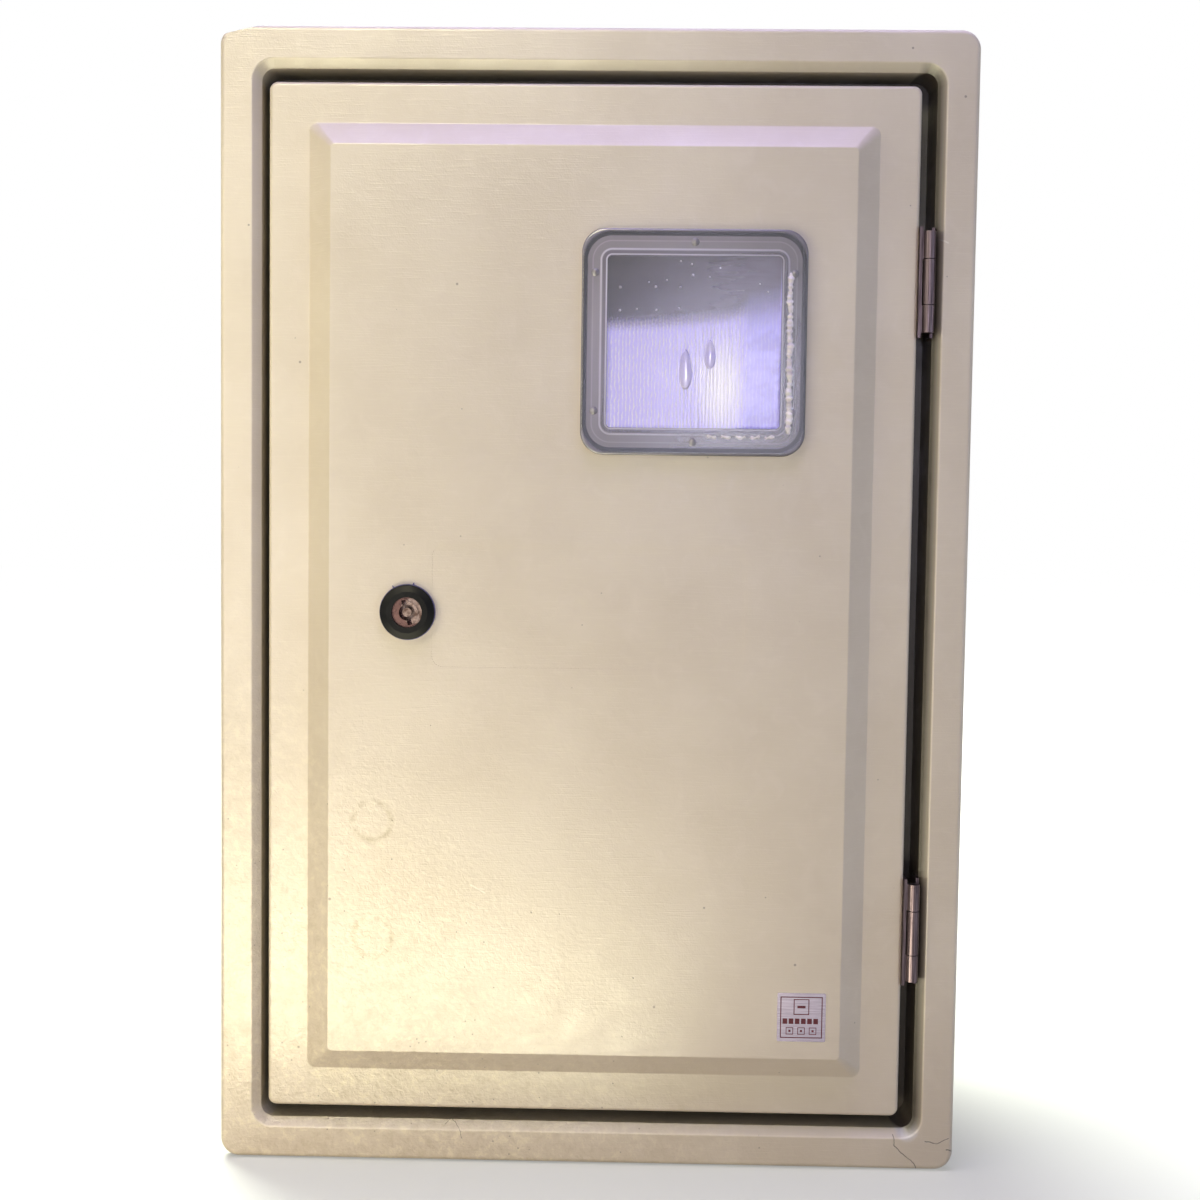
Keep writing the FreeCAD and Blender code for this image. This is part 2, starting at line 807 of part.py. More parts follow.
def rail_screw_places():
    return [((rail_half - S.rail_screw_inset) * a, rail_z) for a in (-1, 1)]


def pan_screws(owner, centres, seat, length):
    """Pan-head screws whose heads stand on the seat, with a driver slot across each head."""
    discs(owner, "XZ_Plane", centres, [(seat - length, length, S.screw_radius - S.thread_clearance),
                                       (seat, S.screw_head_height, S.screw_head_radius)])
    top = seat + S.screw_head_height
    dress(owner, "Fillet", S.screw_head_round, lambda p, e: level(e, top.value))
    cut = sketch(owner, top)
    half = S.screw_slot / 2
    for x, z in centres:
        reach = S.screw_head_radius
        rectangle(cut, x - reach, x + reach, z - half, z + half)
    pocket(owner, cut, S.screw_head_height / 2)


def build_earth_stud():
    """A hexagon bolt through the plate, clamped by one nut, with a free end for the earth lead."""
    bolt = body("earth_bolt", earth_x, earth_z)
    drawing = sketch(bolt, boss_top - S.earth_head_height)
    regular_hexagon(drawing, S.earth_nut_flats)
    pad(bolt, drawing, S.earth_head_height)
    shank = sketch(bolt, boss_top - S.earth_head_height)
    circle(shank, S.earth_radius)
    pad(bolt, shank, S.earth_head_height + S.earth_length)
    dress(bolt, "Chamfer", S.earth_chamfer,
          lambda p, e: level(e, (boss_top + S.earth_length).value))
    washers = body("earth_washer", earth_x, earth_z)
    discs(washers, "XZ_Plane", [(None, None)], [(plate_top, S.washer_wall, S.earth_washer_radius)])
    bore = sketch(washers, plate_top + S.washer_wall)
    circle(bore, S.earth_radius + S.screw_clearance)
    pocket(washers, bore, S.washer_wall)
    nut = body("earth_nut", earth_x, earth_z)
    drawing = sketch(nut, plate_top + S.washer_wall)
    regular_hexagon(drawing, S.earth_nut_flats)
    pad(nut, drawing, S.earth_nut_height)
    bore = sketch(nut, plate_top + S.washer_wall + S.earth_nut_height)
    circle(bore, S.earth_radius + S.screw_clearance / 2)
    pocket(nut, bore, S.earth_nut_height)


def build_strike():
    """The angle inside the left of the mouth that the cam turns behind."""
    strike = body("strike_plate")
    wall = -mouth_half_x
    tab_back = cam_front + S.strike_cam_gap
    drawing = sketch(strike, lock_z - S.strike_height / 2, "XY_Plane")
    tab_front = tab_back + S.strike_wall
    polygon(drawing, [(wall, -(tab_front - S.strike_back)), (wall, -tab_front),
                      (wall + S.strike_reach, -tab_front), (wall + S.strike_reach, -tab_back),
                      (wall + S.strike_wall, -tab_back),
                      (wall + S.strike_wall, -(tab_front - S.strike_back))])
    pad(strike, drawing, S.strike_height)
    holes = sketch(strike, wall + S.strike_wall, "YZ_Plane")
    for y, z in strike_rivet_places():
        circle(holes, S.rivet_radius, y, z)
    pocket(strike, holes, S.strike_wall)
    rivets = body("strike_rivets")
    grip = S.strike_wall + S.box_wall
    discs(rivets, "YZ_Plane", strike_rivet_places(),
          [(wall - S.box_wall, grip, S.rivet_radius - S.thread_clearance),
           (wall + S.strike_wall, S.rivet_head_height, S.rivet_head_radius),
           (wall - S.box_wall - S.rivet_tail_height, S.rivet_tail_height, S.rivet_tail_radius)])


def build_hinge(name, z):
    """One butt hinge: a leaf on the frame, a leaf on the door and the pin."""
    half = S.hinge_leaf_height / 2
    chamfer = S.hinge_leaf_chamfer
    middle = S.hinge_middle_knuckle / 2 - S.hinge_knuckle_gap / 2
    outer = S.hinge_barrel_height / 2
    rivets = [S.rivet_spread / 2 * b for b in (-1, 1)]

    frame = body(f"frame_leaf_{name}", z=z)
    front = -(S.box_depth - S.frame_leaf_front)
    back = -(S.box_depth - S.frame_leaf_back)
    outline = sketch(frame, open_half_x - S.hinge_leaf_wall, "YZ_Plane")
    polygon(outline, [(front, -half), (back - chamfer, -half), (back, -half + chamfer),
                      (back, half - chamfer), (back - chamfer, half), (front, half),
                      (front, middle), (-axis_ahead, middle), (-axis_ahead, -middle), (front, -middle)])
    pad(frame, outline, S.hinge_leaf_wall)
    knuckle(frame, -middle, middle)
    bores = sketch(frame, open_half_x, "YZ_Plane")
    for place_z in rivets:
        circle(bores, S.rivet_radius, -(S.box_depth - S.frame_rivet_back), place_z)
    pocket(frame, bores, S.hinge_leaf_wall)

    door = body(f"door_leaf_{name}", z=z)
    back = -(S.box_depth - S.door_leaf_back)
    outline = sketch(door, door_right, "YZ_Plane")
    polygon(outline, [(-axis_ahead, -half), (back - chamfer, -half), (back, -half + chamfer),
                      (back, half - chamfer), (back - chamfer, half), (-axis_ahead, half)])
    pad(door, outline, S.hinge_leaf_wall)
    start = S.hinge_middle_knuckle / 2 + S.hinge_knuckle_gap / 2
    for low, high in ((-outer, -start), (start, outer)):
        web = sketch(door, low, "XY_Plane")
        bite = S.hinge_leaf_wall / 2
        rectangle(web, door_right + bite, axis_x - S.hinge_barrel_radius + bite,
                  -axis_ahead, -axis_ahead + S.hinge_leaf_wall)
        pad(door, web, high - low)
        knuckle(door, low, high)
    bores = sketch(door, door_right + S.hinge_leaf_wall, "YZ_Plane")
    for place_z in rivets:
        circle(bores, S.rivet_radius, -(S.box_depth - S.door_rivet_back), place_z)
    pocket(door, bores, S.hinge_leaf_wall)

    pin = doc.addObject("Part::Cylinder", f"hinge_pin_{name}")
    pin.Label = f"hinge_pin_{name}"
    pin.setExpression("Radius", S.hinge_pin_radius.text)
    pin.setExpression("Height", S.hinge_barrel_height.text)
    pin.setExpression(".Placement.Base.x", axis_x.text)
    pin.setExpression(".Placement.Base.y", (-axis_ahead).text)
    pin.setExpression(".Placement.Base.z", (z - outer).text)


def knuckle(owner, low, high):
    """A rolled knuckle round the hinge axis between two heights, with the seam where its sheet ends."""
    ring = sketch(owner, low, "XY_Plane")
    circle(ring, S.hinge_barrel_radius, axis_x, -axis_ahead)
    circle(ring, S.hinge_pin_radius + S.hinge_pin_clearance, axis_x, -axis_ahead)
    pad(owner, ring, high - low)
    seam = sketch(owner, high, "XY_Plane")
    left = axis_x + S.hinge_barrel_radius / 2
    front = -(axis_ahead + S.hinge_barrel_radius)
    floor = -(axis_ahead + (S.hinge_barrel_radius + S.hinge_pin_radius) / 2)
    rectangle(seam, left, left + S.hinge_seam, front, floor)
    pocket(owner, seam, high - low)


def build_hinge_rivets():
    frame = body("frame_leaf_rivets")
    face = open_half_x - S.hinge_leaf_wall
    grip = S.hinge_leaf_wall + S.box_wall
    discs(frame, "YZ_Plane", hinge_rivet_places(S.frame_rivet_back),
          [(face, grip, S.rivet_radius - S.thread_clearance),
           (face - S.rivet_head_height, S.rivet_head_height, S.rivet_head_radius),
           (face + grip, S.rivet_tail_height, S.rivet_tail_radius)])
    door = body("door_leaf_rivets")
    face = door_right + S.hinge_leaf_wall
    grip = S.hinge_leaf_wall + S.door_wall
    discs(door, "YZ_Plane", hinge_rivet_places(S.door_rivet_back),
          [(face - grip, grip, S.rivet_radius - S.thread_clearance),
           (face, S.rivet_head_height, S.rivet_head_radius),
           (face - grip - S.rivet_tail_height, S.rivet_tail_height, S.rivet_tail_radius)])


def build_door_panel():
    """The door moulding: a shallow tray with a raised and bevelled middle."""
    made = body("door_panel")
    half_x, half_z = door_width / 2, door_height / 2
    tray = sketch(made, door_back)
    rounded(tray, half_x, half_z, S.door_corner, door_x, door_z)
    pad(made, tray, S.door_depth)
    foot_x, foot_z = half_x - S.panel_border, half_z - S.panel_border
    top_x, top_z = foot_x - S.panel_bevel, foot_z - S.panel_bevel
    foot = sketch(made, door_face)
    rounded(foot, foot_x, foot_z, S.panel_foot_corner, door_x, door_z)
    top = sketch(made, panel_face)
    rounded(top, top_x, top_z, S.panel_top_corner, door_x, door_z)
    loft(made, foot, top)
    border_x, border_z = half_x - S.panel_border / 2, half_z - S.panel_border / 2
    middle = V(door_x.value, 0, door_z.value)
    dress(made, "Fillet", S.door_edge_round,
          lambda p, e: level(e, door_face.value) and not inside_box(p - middle, border_x, border_z))
    dress(made, "Fillet", S.panel_edge_round,
          lambda p, e: level(e, panel_face.value)
          or level(e, door_face.value) and inside_box(p - middle, border_x, border_z))
    hollow = sketch(made, door_inside)
    rounded(hollow, half_x - S.door_wall, half_z - S.door_wall, S.door_inner_corner, door_x, door_z)
    pocket(made, hollow, S.door_depth - S.door_wall)
    inner_foot = sketch(made, door_inside)
    rounded(inner_foot, foot_x - S.panel_inset, foot_z - S.panel_inset, S.panel_foot_corner, door_x, door_z)
    inner_top = sketch(made, panel_inside)
    rounded(inner_top, top_x - S.panel_inset, top_z - S.panel_inset, S.panel_top_corner, door_x, door_z)
    loft(made, inner_foot, inner_top, cut=True)
    add_door_ribs(made, top_x - S.panel_inset)
    cut_door_openings(made)
    return made


def add_door_ribs(made, reach):
    """The gasket's retaining rib and the stiffening ribs across the lower half of the door."""
    inner_x = rim_half_x - S.box_wall / 2 - S.gasket_width / 2 - S.gasket_gap
    inner_z = rim_half_z - S.box_wall / 2 - S.gasket_width / 2 - S.gasket_gap
    ring = sketch(made, door_inside)
    corner = S.rim_corner - S.box_wall
    rounded(ring, inner_x, inner_z, corner)
    rounded(ring, inner_x - S.gasket_rib_wall, inner_z - S.gasket_rib_wall, corner - S.gasket_rib_wall)
    pad(made, ring, S.gasket_rib_height, backwards=True)
    for step in range(DOOR_RIBS):
        z = door_z - S.door_rib_down - S.door_rib_pitch * step
        rib = sketch(made, panel_inside)
        rectangle(rib, door_x - reach, door_x + reach, z - S.door_rib_wall / 2, z + S.door_rib_wall / 2)
        pad(made, rib, S.door_rib_height, backwards=True)


def cut_door_openings(made):
    """The window opening and its stud holes, the lock hole, the mould mark and the rivet holes."""
    mark = sketch(made, panel_face)
    rounded(mark, S.mark_width / 2, S.mark_height / 2, S.mark_corner, door_x, door_z)
    pocket(made, mark, S.mark_depth)
    window = sketch(made, panel_face)
    rounded(window, S.pane_width / 2 + S.window_fit, S.pane_height / 2 + S.window_fit,
            S.pane_corner + S.window_fit, window_x, window_z)
    pocket(made, window, S.door_wall)
    studs = sketch(made, panel_face)
    for x, z in stud_places():
        circle(studs, S.stud_radius + S.stud_fit, window_x + x, window_z + z)
    pocket(made, studs, S.door_wall)
    lock = sketch(made, panel_face)
    flatted_circle(lock, S.lock_barrel_radius + S.lock_fit, S.lock_barrel_flat / 2 + S.lock_fit,
                   lock_x, lock_z)
    pocket(made, lock, S.door_wall)
    holes = sketch(made, door_right, "YZ_Plane")
    for y, z in hinge_rivet_places(S.door_rivet_back):
        circle(holes, S.rivet_radius, y, z)
    pocket(made, holes, S.door_wall)


def flatted_circle(drawing, radius, half_flats, x=ZERO, y=ZERO):
    """A circle with a flat on its left and on its right, as a cam lock's barrel has."""
    angle = math.acos(half_flats.value / radius.value)
    cx, cy, r, flat = x.value, y.value, radius.value, half_flats.value
    high = r * math.sin(angle)
    round_part = Part.Circle(V(cx, cy, 0), V(0, 0, 1), r)
    n = drawing.GeometryCount
    drawing.addGeometry(Part.ArcOfCircle(round_part, angle, math.pi - angle))
    drawing.addGeometry(Part.LineSegment(V(cx - flat, cy + high, 0), V(cx - flat, cy - high, 0)))
    drawing.addGeometry(Part.ArcOfCircle(round_part, math.pi + angle, 2 * math.pi - angle))
    drawing.addGeometry(Part.LineSegment(V(cx + flat, cy - high, 0), V(cx + flat, cy + high, 0)))
    for step in range(4):
        drawing.addConstraint(Sketcher.Constraint("Coincident", n + step, 2, n + (step + 1) % 4, 1))
    drawing.addConstraint(Sketcher.Constraint("Coincident", n, 3, n + 2, 3))
    drawing.addConstraint(Sketcher.Constraint("Vertical", n + 1))
    drawing.addConstraint(Sketcher.Constraint("Vertical", n + 3))
    bind_radius(drawing, n, radius)
    place(drawing, n, 3, x, y)
    bind(drawing, "DistanceX", (n + 1, 1), (n, 3), half_flats)
    bind(drawing, "DistanceX", (n, 3), (n + 3, 1), half_flats)


def stud_places():
    """Stud centres about the middle of the window: one above, one below and two on each side."""
    far, near_by = S.stud_from_middle, S.stud_spread / 2
    return [(ZERO, far), (ZERO, -far)] + [(far * a, near_by * b) for a in (-1, 1) for b in (-1, 1)]


def build_gasket():
    gasket = body("door_gasket")
    middle_x, middle_z = rim_half_x - S.box_wall / 2, rim_half_z - S.box_wall / 2
    half = S.gasket_width / 2
    drawing = sketch(gasket, rim_top + S.gasket_gap)
    corner = S.rim_corner - S.box_wall / 2
    rounded(drawing, middle_x + half, middle_z + half, corner + half)
    rounded(drawing, middle_x - half, middle_z - half, corner - half)
    pad(gasket, drawing, door_inside - rim_top - S.gasket_gap)


def build_window():
    """The clear moulding, its seal and the push-on clips behind the door."""
    half = S.lens_size / 2
    lens = body("window_lens", window_x, window_z)
    slab = sketch(lens, lens_back)
    rounded(slab, half, half, S.lens_corner)
    pad(lens, slab, S.lens_wall)
    lip = sketch(lens, lens_back)
    rounded(lip, half, half, S.lens_corner)
    rounded(lip, half - S.lens_lip, half - S.lens_lip, S.lens_corner - S.lens_lip)
    pad(lens, lip, S.seal_wall, backwards=True)
    step = sketch(lens, lens_face)
    rounded(step, S.pane_width / 2, S.pane_height / 2, S.pane_corner)
    pad(lens, step, S.pane_step)
    plug = sketch(lens, lens_back)
    rounded(plug, S.pane_width / 2, S.pane_height / 2, S.pane_corner)
    pad(lens, plug, S.pane_plug, backwards=True)
    ridge = S.pane_ridge
    field = sketch(lens, lens_face + S.pane_step)
    rounded(field, S.pane_width / 2 - ridge, S.pane_height / 2 - ridge, S.pane_corner - ridge / 2)
    pocket(lens, field, S.pane_step)
    behind = sketch(lens, lens_back - S.pane_plug)
    rounded(behind, S.pane_width / 2 - ridge, S.pane_height / 2 - ridge, S.pane_corner - ridge / 2)
    pocket(lens, behind, S.pane_plug + S.lens_wall - S.pane_wall, backwards=True)
    studs = sketch(lens, lens_back)
    for x, z in stud_places():
        circle(studs, S.stud_radius, x, z)
    pad(lens, studs, lens_back - panel_inside + S.stud_reach, backwards=True)
    dress(lens, "Fillet", S.lens_edge_round,
          lambda p, e: level(e, lens_face.value)
          and max(abs(p.x), abs(p.z)) > half.value - S.lens_corner.value / 2)

    seal = body("window_seal", window_x, window_z)
    drawing = sketch(seal, panel_face)
    outer = half - S.lens_lip - S.seal_inset
    corner = S.lens_corner - S.lens_lip - S.seal_inset
    rounded(drawing, outer, outer, corner)
    rounded(drawing, outer - S.seal_width, outer - S.seal_width, corner - S.seal_width)
    pad(seal, drawing, S.seal_wall)

    clips = body("window_clips", window_x, window_z)
    drawing = sketch(clips, panel_inside)
    for x, z in stud_places():
        circle(drawing, S.clip_radius, x, z)
        circle(drawing, S.stud_radius + S.thread_clearance, x, z)
    pad(clips, drawing, S.clip_wall, backwards=True)


def build_lock():
    """The quarter-turn lock: bezel and barrel, seal, nut, two-bit core, cam, washer and screw."""
    housing = body("lock_housing", lock_x, lock_z)
    barrel = sketch(housing, barrel_end)
    flatted_circle(barrel, S.lock_barrel_radius, S.lock_barrel_flat / 2)
    pad(housing, barrel, S.lock_barrel_length)
    bezel = sketch(housing, ZERO, "XY_Plane")
    shoulder = bezel_face - S.lock_bezel_slope
    polygon(bezel, [(ZERO, -bezel_back), (S.lock_bezel_radius, -bezel_back),
                    (S.lock_bezel_radius, -shoulder), (S.lock_bezel_crown, -bezel_face),
                    (ZERO, -bezel_face)])
    revolve(housing, bezel)
    dress(housing, "Fillet", S.lock_bezel_round, lambda p, e: level(e, shoulder.value))
    well = sketch(housing, bezel_face)
    circle(well, S.core_radius + S.core_fit)
    pocket(housing, well, bezel_face - core_seat + S.core_fit)
    bore = sketch(housing, bezel_face)
    circle(bore, S.core_shank_radius + S.core_fit)
    pocket(housing, bore, bezel_face - barrel_end)

    seal = body("lock_seal", lock_x, lock_z)
    drawing = sketch(seal, panel_face)
    circle(drawing, S.lock_seal_radius)
    circle(drawing, S.lock_barrel_radius + S.lock_fit * 2)
    pad(seal, drawing, S.lock_seal_wall)
    nibs = sketch(seal, panel_face)
    for angle in NIB_ANGLES:
        a = math.radians(angle)
        out = S.lock_seal_radius + S.lock_nib
        inward = S.lock_seal_radius - S.lock_nib_root
        spread = S.lock_nib_spread.value
        corners = [(inward, -spread), (inward, spread), (out, 0)]
        polygon(nibs, [(reach * round(math.cos(a + math.radians(turn)), 6),
                        reach * round(math.sin(a + math.radians(turn)), 6)) for reach, turn in corners])
    pad(seal, nibs, S.lock_seal_wall)

    nut = body("lock_nut", lock_x, lock_z)
    drawing = sketch(nut, panel_inside - S.lock_nut_height)
    regular_hexagon(drawing, S.lock_nut_flats)
    circle(drawing, S.lock_barrel_radius + S.core_fit / 2)
    pad(nut, drawing, S.lock_nut_height)

    build_core()
    build_cam()


def build_core():
    """The turning core, with a round socket, its centre pin and two wings for the bits."""
    core = body("lock_core", lock_x, lock_z, S.bit_turn)
    face = core_face - S.core_hub_rise
    discs(core, "XZ_Plane", [(None, None)],
          [(core_seat, S.core_depth, S.core_radius),
           (face, S.core_hub_rise, S.core_hub_radius),
           (cam_front, core_seat - cam_front, S.core_shank_radius)])
    lobes = sketch(core, face)
    slot(lobes, S.bit_wing + S.core_lobe_wall, S.bit_wing_width / 2 + S.core_lobe_wall,
         ZERO, ZERO, upright=True)
    pad(core, lobes, S.core_hub_rise)
    socket = sketch(core, core_face)
    circle(socket, S.bit_radius)
    pocket(core, socket, S.bit_depth)
    wings = sketch(core, core_face)
    half = S.bit_wing_width / 2
    for side in (-1, 1):
        rectangle(wings, -half, half, *sorted([S.bit_wing * side, S.bit_wing_root * side],
                                              key=lambda item: item.value))
    pocket(core, wings, S.bit_depth)
    pin = sketch(core, core_face - S.bit_depth)
    circle(pin, S.bit_pin_radius)
    pad(core, pin, S.bit_depth - S.bit_pin_sunk)
    square = sketch(core, cam_back)
    edge = S.core_square / 2
    rectangle(square, -edge, edge, -edge, edge)
    pad(core, square, S.cam_wall)
    bore = sketch(core, cam_back)
    circle(bore, S.cam_screw_radius + S.thread_clearance)
    pocket(core, bore, S.cam_screw_reach + S.cam_washer_wall, backwards=True)


def build_cam():
    """The cam points up and turns towards the strike plate. It is drawn upright and turned with the core."""
    reach = mouth_half_x + lock_x - S.cam_tip_gap
    cam = body("lock_cam", lock_x, lock_z, S.bit_turn)
    half = S.cam_width / 2
    run = (reach + half) / 2
    drawing = sketch(cam, cam_back)
    slot(drawing, run, half, ZERO, reach - run, upright=True)
    pad(cam, drawing, S.cam_wall)
    hole = sketch(cam, cam_front)
    edge = S.core_square / 2 + S.square_fit
    rectangle(hole, -edge, edge, -edge, edge)
    pocket(cam, hole, S.cam_wall)

    washer = body("cam_washer", lock_x, lock_z, S.bit_turn)
    washer_back = cam_back - S.cam_washer_wall
    discs(washer, "XZ_Plane", [(None, None)], [(washer_back, S.cam_washer_wall, S.cam_washer_radius)])
    bore = sketch(washer, cam_back)
    circle(bore, S.cam_screw_radius + S.screw_clearance)
    pocket(washer, bore, S.cam_washer_wall)

    screw = body("cam_screw", lock_x, lock_z, S.bit_turn)
    head = sketch(screw, washer_back - S.cam_screw_head)
    regular_hexagon(head, S.cam_screw_flats)
    pad(screw, head, S.cam_screw_head)
    shank = sketch(screw, washer_back)
    circle(shank, S.cam_screw_radius)
    pad(screw, shank, S.cam_washer_wall + S.cam_screw_reach)


def build_label():
    label = body("door_label", door_right - S.label_inset, door_bottom + S.label_lift)
    drawing = sketch(label, panel_face)
    rounded(drawing, S.label_width / 2, S.label_height / 2, S.label_corner)
    pad(label, drawing, S.label_wall)


def export_parts():
    """Checks every object and writes one STEP file for each sub-part."""
    doc.recompute()
    for item in doc.Objects:
        if {"Invalid", "Error"} & set(item.State):
            raise RuntimeError(f"{item.Label} failed: {item.State}")
    os.makedirs("parts", exist_ok=True)
    subparts = [item for item in doc.Objects if item.TypeId in ("PartDesign::Body", "Part::Cylinder")]
    for item in subparts:
        shape = item.Shape
        if shape.isNull() or not shape.isValid() or not shape.Solids:
            raise RuntimeError(f"{item.Label} has no valid solid")
        shape.exportStep(os.path.join("parts", f"{item.Label}.step"))
        print(f"{item.Label}: {len(shape.Solids)} solids, {shape.Volume / 1000:.1f} cm3")


build_body_shell()
build_mounting_parts()
build_strike()
build_door_panel()
build_gasket()
for hinge_name, hinge_z in hinge_places.items():
    build_hinge(hinge_name, hinge_z)
build_hinge_rivets()
build_window()
build_lock()
build_label()
export_parts()
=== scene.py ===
"""Looks of a flush electric meter box: a moulded polyester shell and door, window, cam lock and hinges.

Everything is in metres in the part's own frame: +Z up, +X to the right of the door, and the door faces -Y.
"""

import logging
import math
from dataclasses import dataclass
from enum import Enum

import bpy
import numpy as np
from mathutils import Matrix


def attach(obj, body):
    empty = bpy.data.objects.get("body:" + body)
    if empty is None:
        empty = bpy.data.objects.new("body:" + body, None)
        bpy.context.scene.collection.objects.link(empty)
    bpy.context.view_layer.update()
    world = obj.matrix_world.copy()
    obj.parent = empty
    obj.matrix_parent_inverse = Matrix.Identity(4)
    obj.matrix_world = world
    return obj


Tree, Socket = bpy.types.NodeTree, bpy.types.NodeSocket

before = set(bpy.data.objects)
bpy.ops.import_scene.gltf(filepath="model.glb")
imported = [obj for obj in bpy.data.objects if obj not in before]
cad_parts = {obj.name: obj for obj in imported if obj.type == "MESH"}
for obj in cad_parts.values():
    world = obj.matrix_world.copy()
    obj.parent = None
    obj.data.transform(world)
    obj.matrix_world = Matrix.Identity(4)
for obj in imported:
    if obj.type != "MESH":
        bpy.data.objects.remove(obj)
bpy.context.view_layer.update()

MM = 0.001
# Keeps a point's x and z and drops its depth.
FLAT = (1.0, 0.0, 1.0)
log = logging.getLogger("meter_box")


class Body(Enum):
    """The moving bodies that a piece can ride on."""

    ENCLOSURE = "enclosure"
    DOOR = "door"
    LOCK = "lock"


def linear(code: str) -> tuple[float, float, float, float]:
    """Turns an sRGB hex colour into linear light.

    Args:
        code: A colour such as "#d3c8b4".

    Returns:
        Red, green, blue and a full alpha.
    """
    share = np.array([int(code[i:i + 2], 16) for i in (1, 3, 5)]) / 255.0
    light = np.where(share <= 0.04045, share / 12.92, ((share + 0.055) / 1.055) ** 2.4)
    return (*light.tolist(), 1.0)


def node(kind: str, *values: object, out: int | str | None = 0, tree: Tree | None = None,
         **settings) -> Socket | bpy.types.Node:
    """Adds one shader node, to the tree of the outputs that feed it.

    Args:
        kind: The node's type without its ShaderNode prefix.
        values: The inputs in their order, or one dict of them by name or number, each a value or the
            output that feeds it. A map range takes its value, the ends of what comes in, and what
            these turn into, which is 0 and 1 if unset.
        out: Name or number of the output that is wanted, or None for the node itself.
        tree: The tree, for a node that nothing feeds.
        settings: The node's own properties.

    Returns:
        The output, or the node.
    """
    sockets = values[0] if values and isinstance(values[0], dict) else dict(enumerate(values))
    fed = [value for value in sockets.values() if isinstance(value, Socket)]
    tree = fed[0].id_data if fed else tree
    made = tree.nodes.new("ShaderNode" + kind)
    for name, value in settings.items():
        setattr(made, name, value)
    for key, value in sockets.items():
        if isinstance(value, Socket):
            tree.links.new(value, made.inputs[key])
        else:
            made.inputs[key].default_value = value
    return made if out is None else made.outputs[out]


def emptied(owner: bpy.types.Material | bpy.types.World) -> Tree:
    """Turns a material's or world's nodes on, and gives its tree with nothing in it."""
    owner.use_nodes = True
    owner.node_tree.nodes.clear()
    return owner.node_tree


@dataclass(frozen=True)
class Finish:
    """A surface finish: its Blender name and the record's slot that it belongs to."""

    name: str
    slot: str

    def material(self) -> bpy.types.Material:
        """Gives the finish's material, made once."""
        found = bpy.data.materials.get(self.name)
        if found:
            return found
        made = bpy.data.materials.new(self.name)
        tree = emptied(made)
        coords = node("TexCoord", tree=tree, out="Object")
        place = node("VectorMath", coords, (1 / MM,) * 3, operation="MULTIPLY")
        node("OutputMaterial", {"Surface": self.shade(place)}, out=None)
        return made

    def shade(self, place: Socket) -> Socket:
        """Builds the shader from the object coordinates in millimetres, and gives its output."""
        raise NotImplementedError


@dataclass(frozen=True)
class Tint:
    """A colour as sRGB hex, and the share of it that shows where its mask is full."""

    code: str
    share: float = 1.0


@dataclass(frozen=True)
class Spot:
    """A small round mark at x and z, in millimetres."""

    x: float
    z: float
    radius: float


@dataclass(frozen=True)
class Crack:
    """A hairline through points of x and z, in millimetres, with its half width."""

    points: tuple[tuple[float, float], ...]
    half_width: float


def joined(operation: str, values: list[Socket | float]) -> Socket:
    """Several values joined one after another, such as their product or the largest of them."""
    result = values[0]
    for value in values[1:]:
        result = node("Math", result, value, operation=operation)
    return result


def overlay(base: Socket | str, layers: list[tuple[Socket, Tint]]) -> Socket:
    """Lays tints over a colour one after another.

    Args:
        base: The colour at the bottom, as a socket or sRGB hex.
        layers: The mask and the tint of each layer, lowest first.

    Returns:
        The colour that shows.
    """
    colour = linear(base) if isinstance(base, str) else base
    for mask, tint in layers:
        share = node("Math", mask, tint.share, operation="MULTIPLY")
        colour = node("Mix", {0: share, 6: colour, 7: linear(tint.code)}, data_type="RGBA", out=2)
    return colour


def spot_mask(flat: Socket, spot: Spot, soft: float) -> Socket:
    """A mask that is 1 within the spot's radius and falls to 0 over the soft distance."""
    away = node("VectorMath", flat, (spot.x, 0.0, spot.z), operation="DISTANCE", out="Value")
    return node("MapRange", away, spot.radius, spot.radius + soft, 1.0, 0.0)


def line_masks(flat: Socket, cracks: tuple[Crack, ...]) -> list[Socket]:
    """A mask for each straight stretch of the cracks: 1 at its middle line and 0 at twice the half width.

    The nearest point on a stretch is its start plus the stretch times the clamped share that the
    dot product gives, and the mask falls with the distance to it.
    """
    masks = []
    for crack in cracks:
        for start, end in zip(crack.points, crack.points[1:]):
            ab = np.array([end[0] - start[0], 0.0, end[1] - start[1]])
            gone = node("VectorMath", flat, (start[0], 0.0, start[1]), operation="SUBTRACT")
            share = node("VectorMath", gone, (ab / (ab @ ab)).tolist(),
                         operation="DOT_PRODUCT", out="Value")
            share = node("Clamp", share)
            along = node("VectorMath", {0: ab.tolist(), "Scale": share}, operation="SCALE")
            away = node("VectorMath", gone, along, operation="DISTANCE", out="Value")
            masks.append(node("MapRange", away, crack.half_width, 2 * crack.half_width, 1.0, 0.0))
    return masks


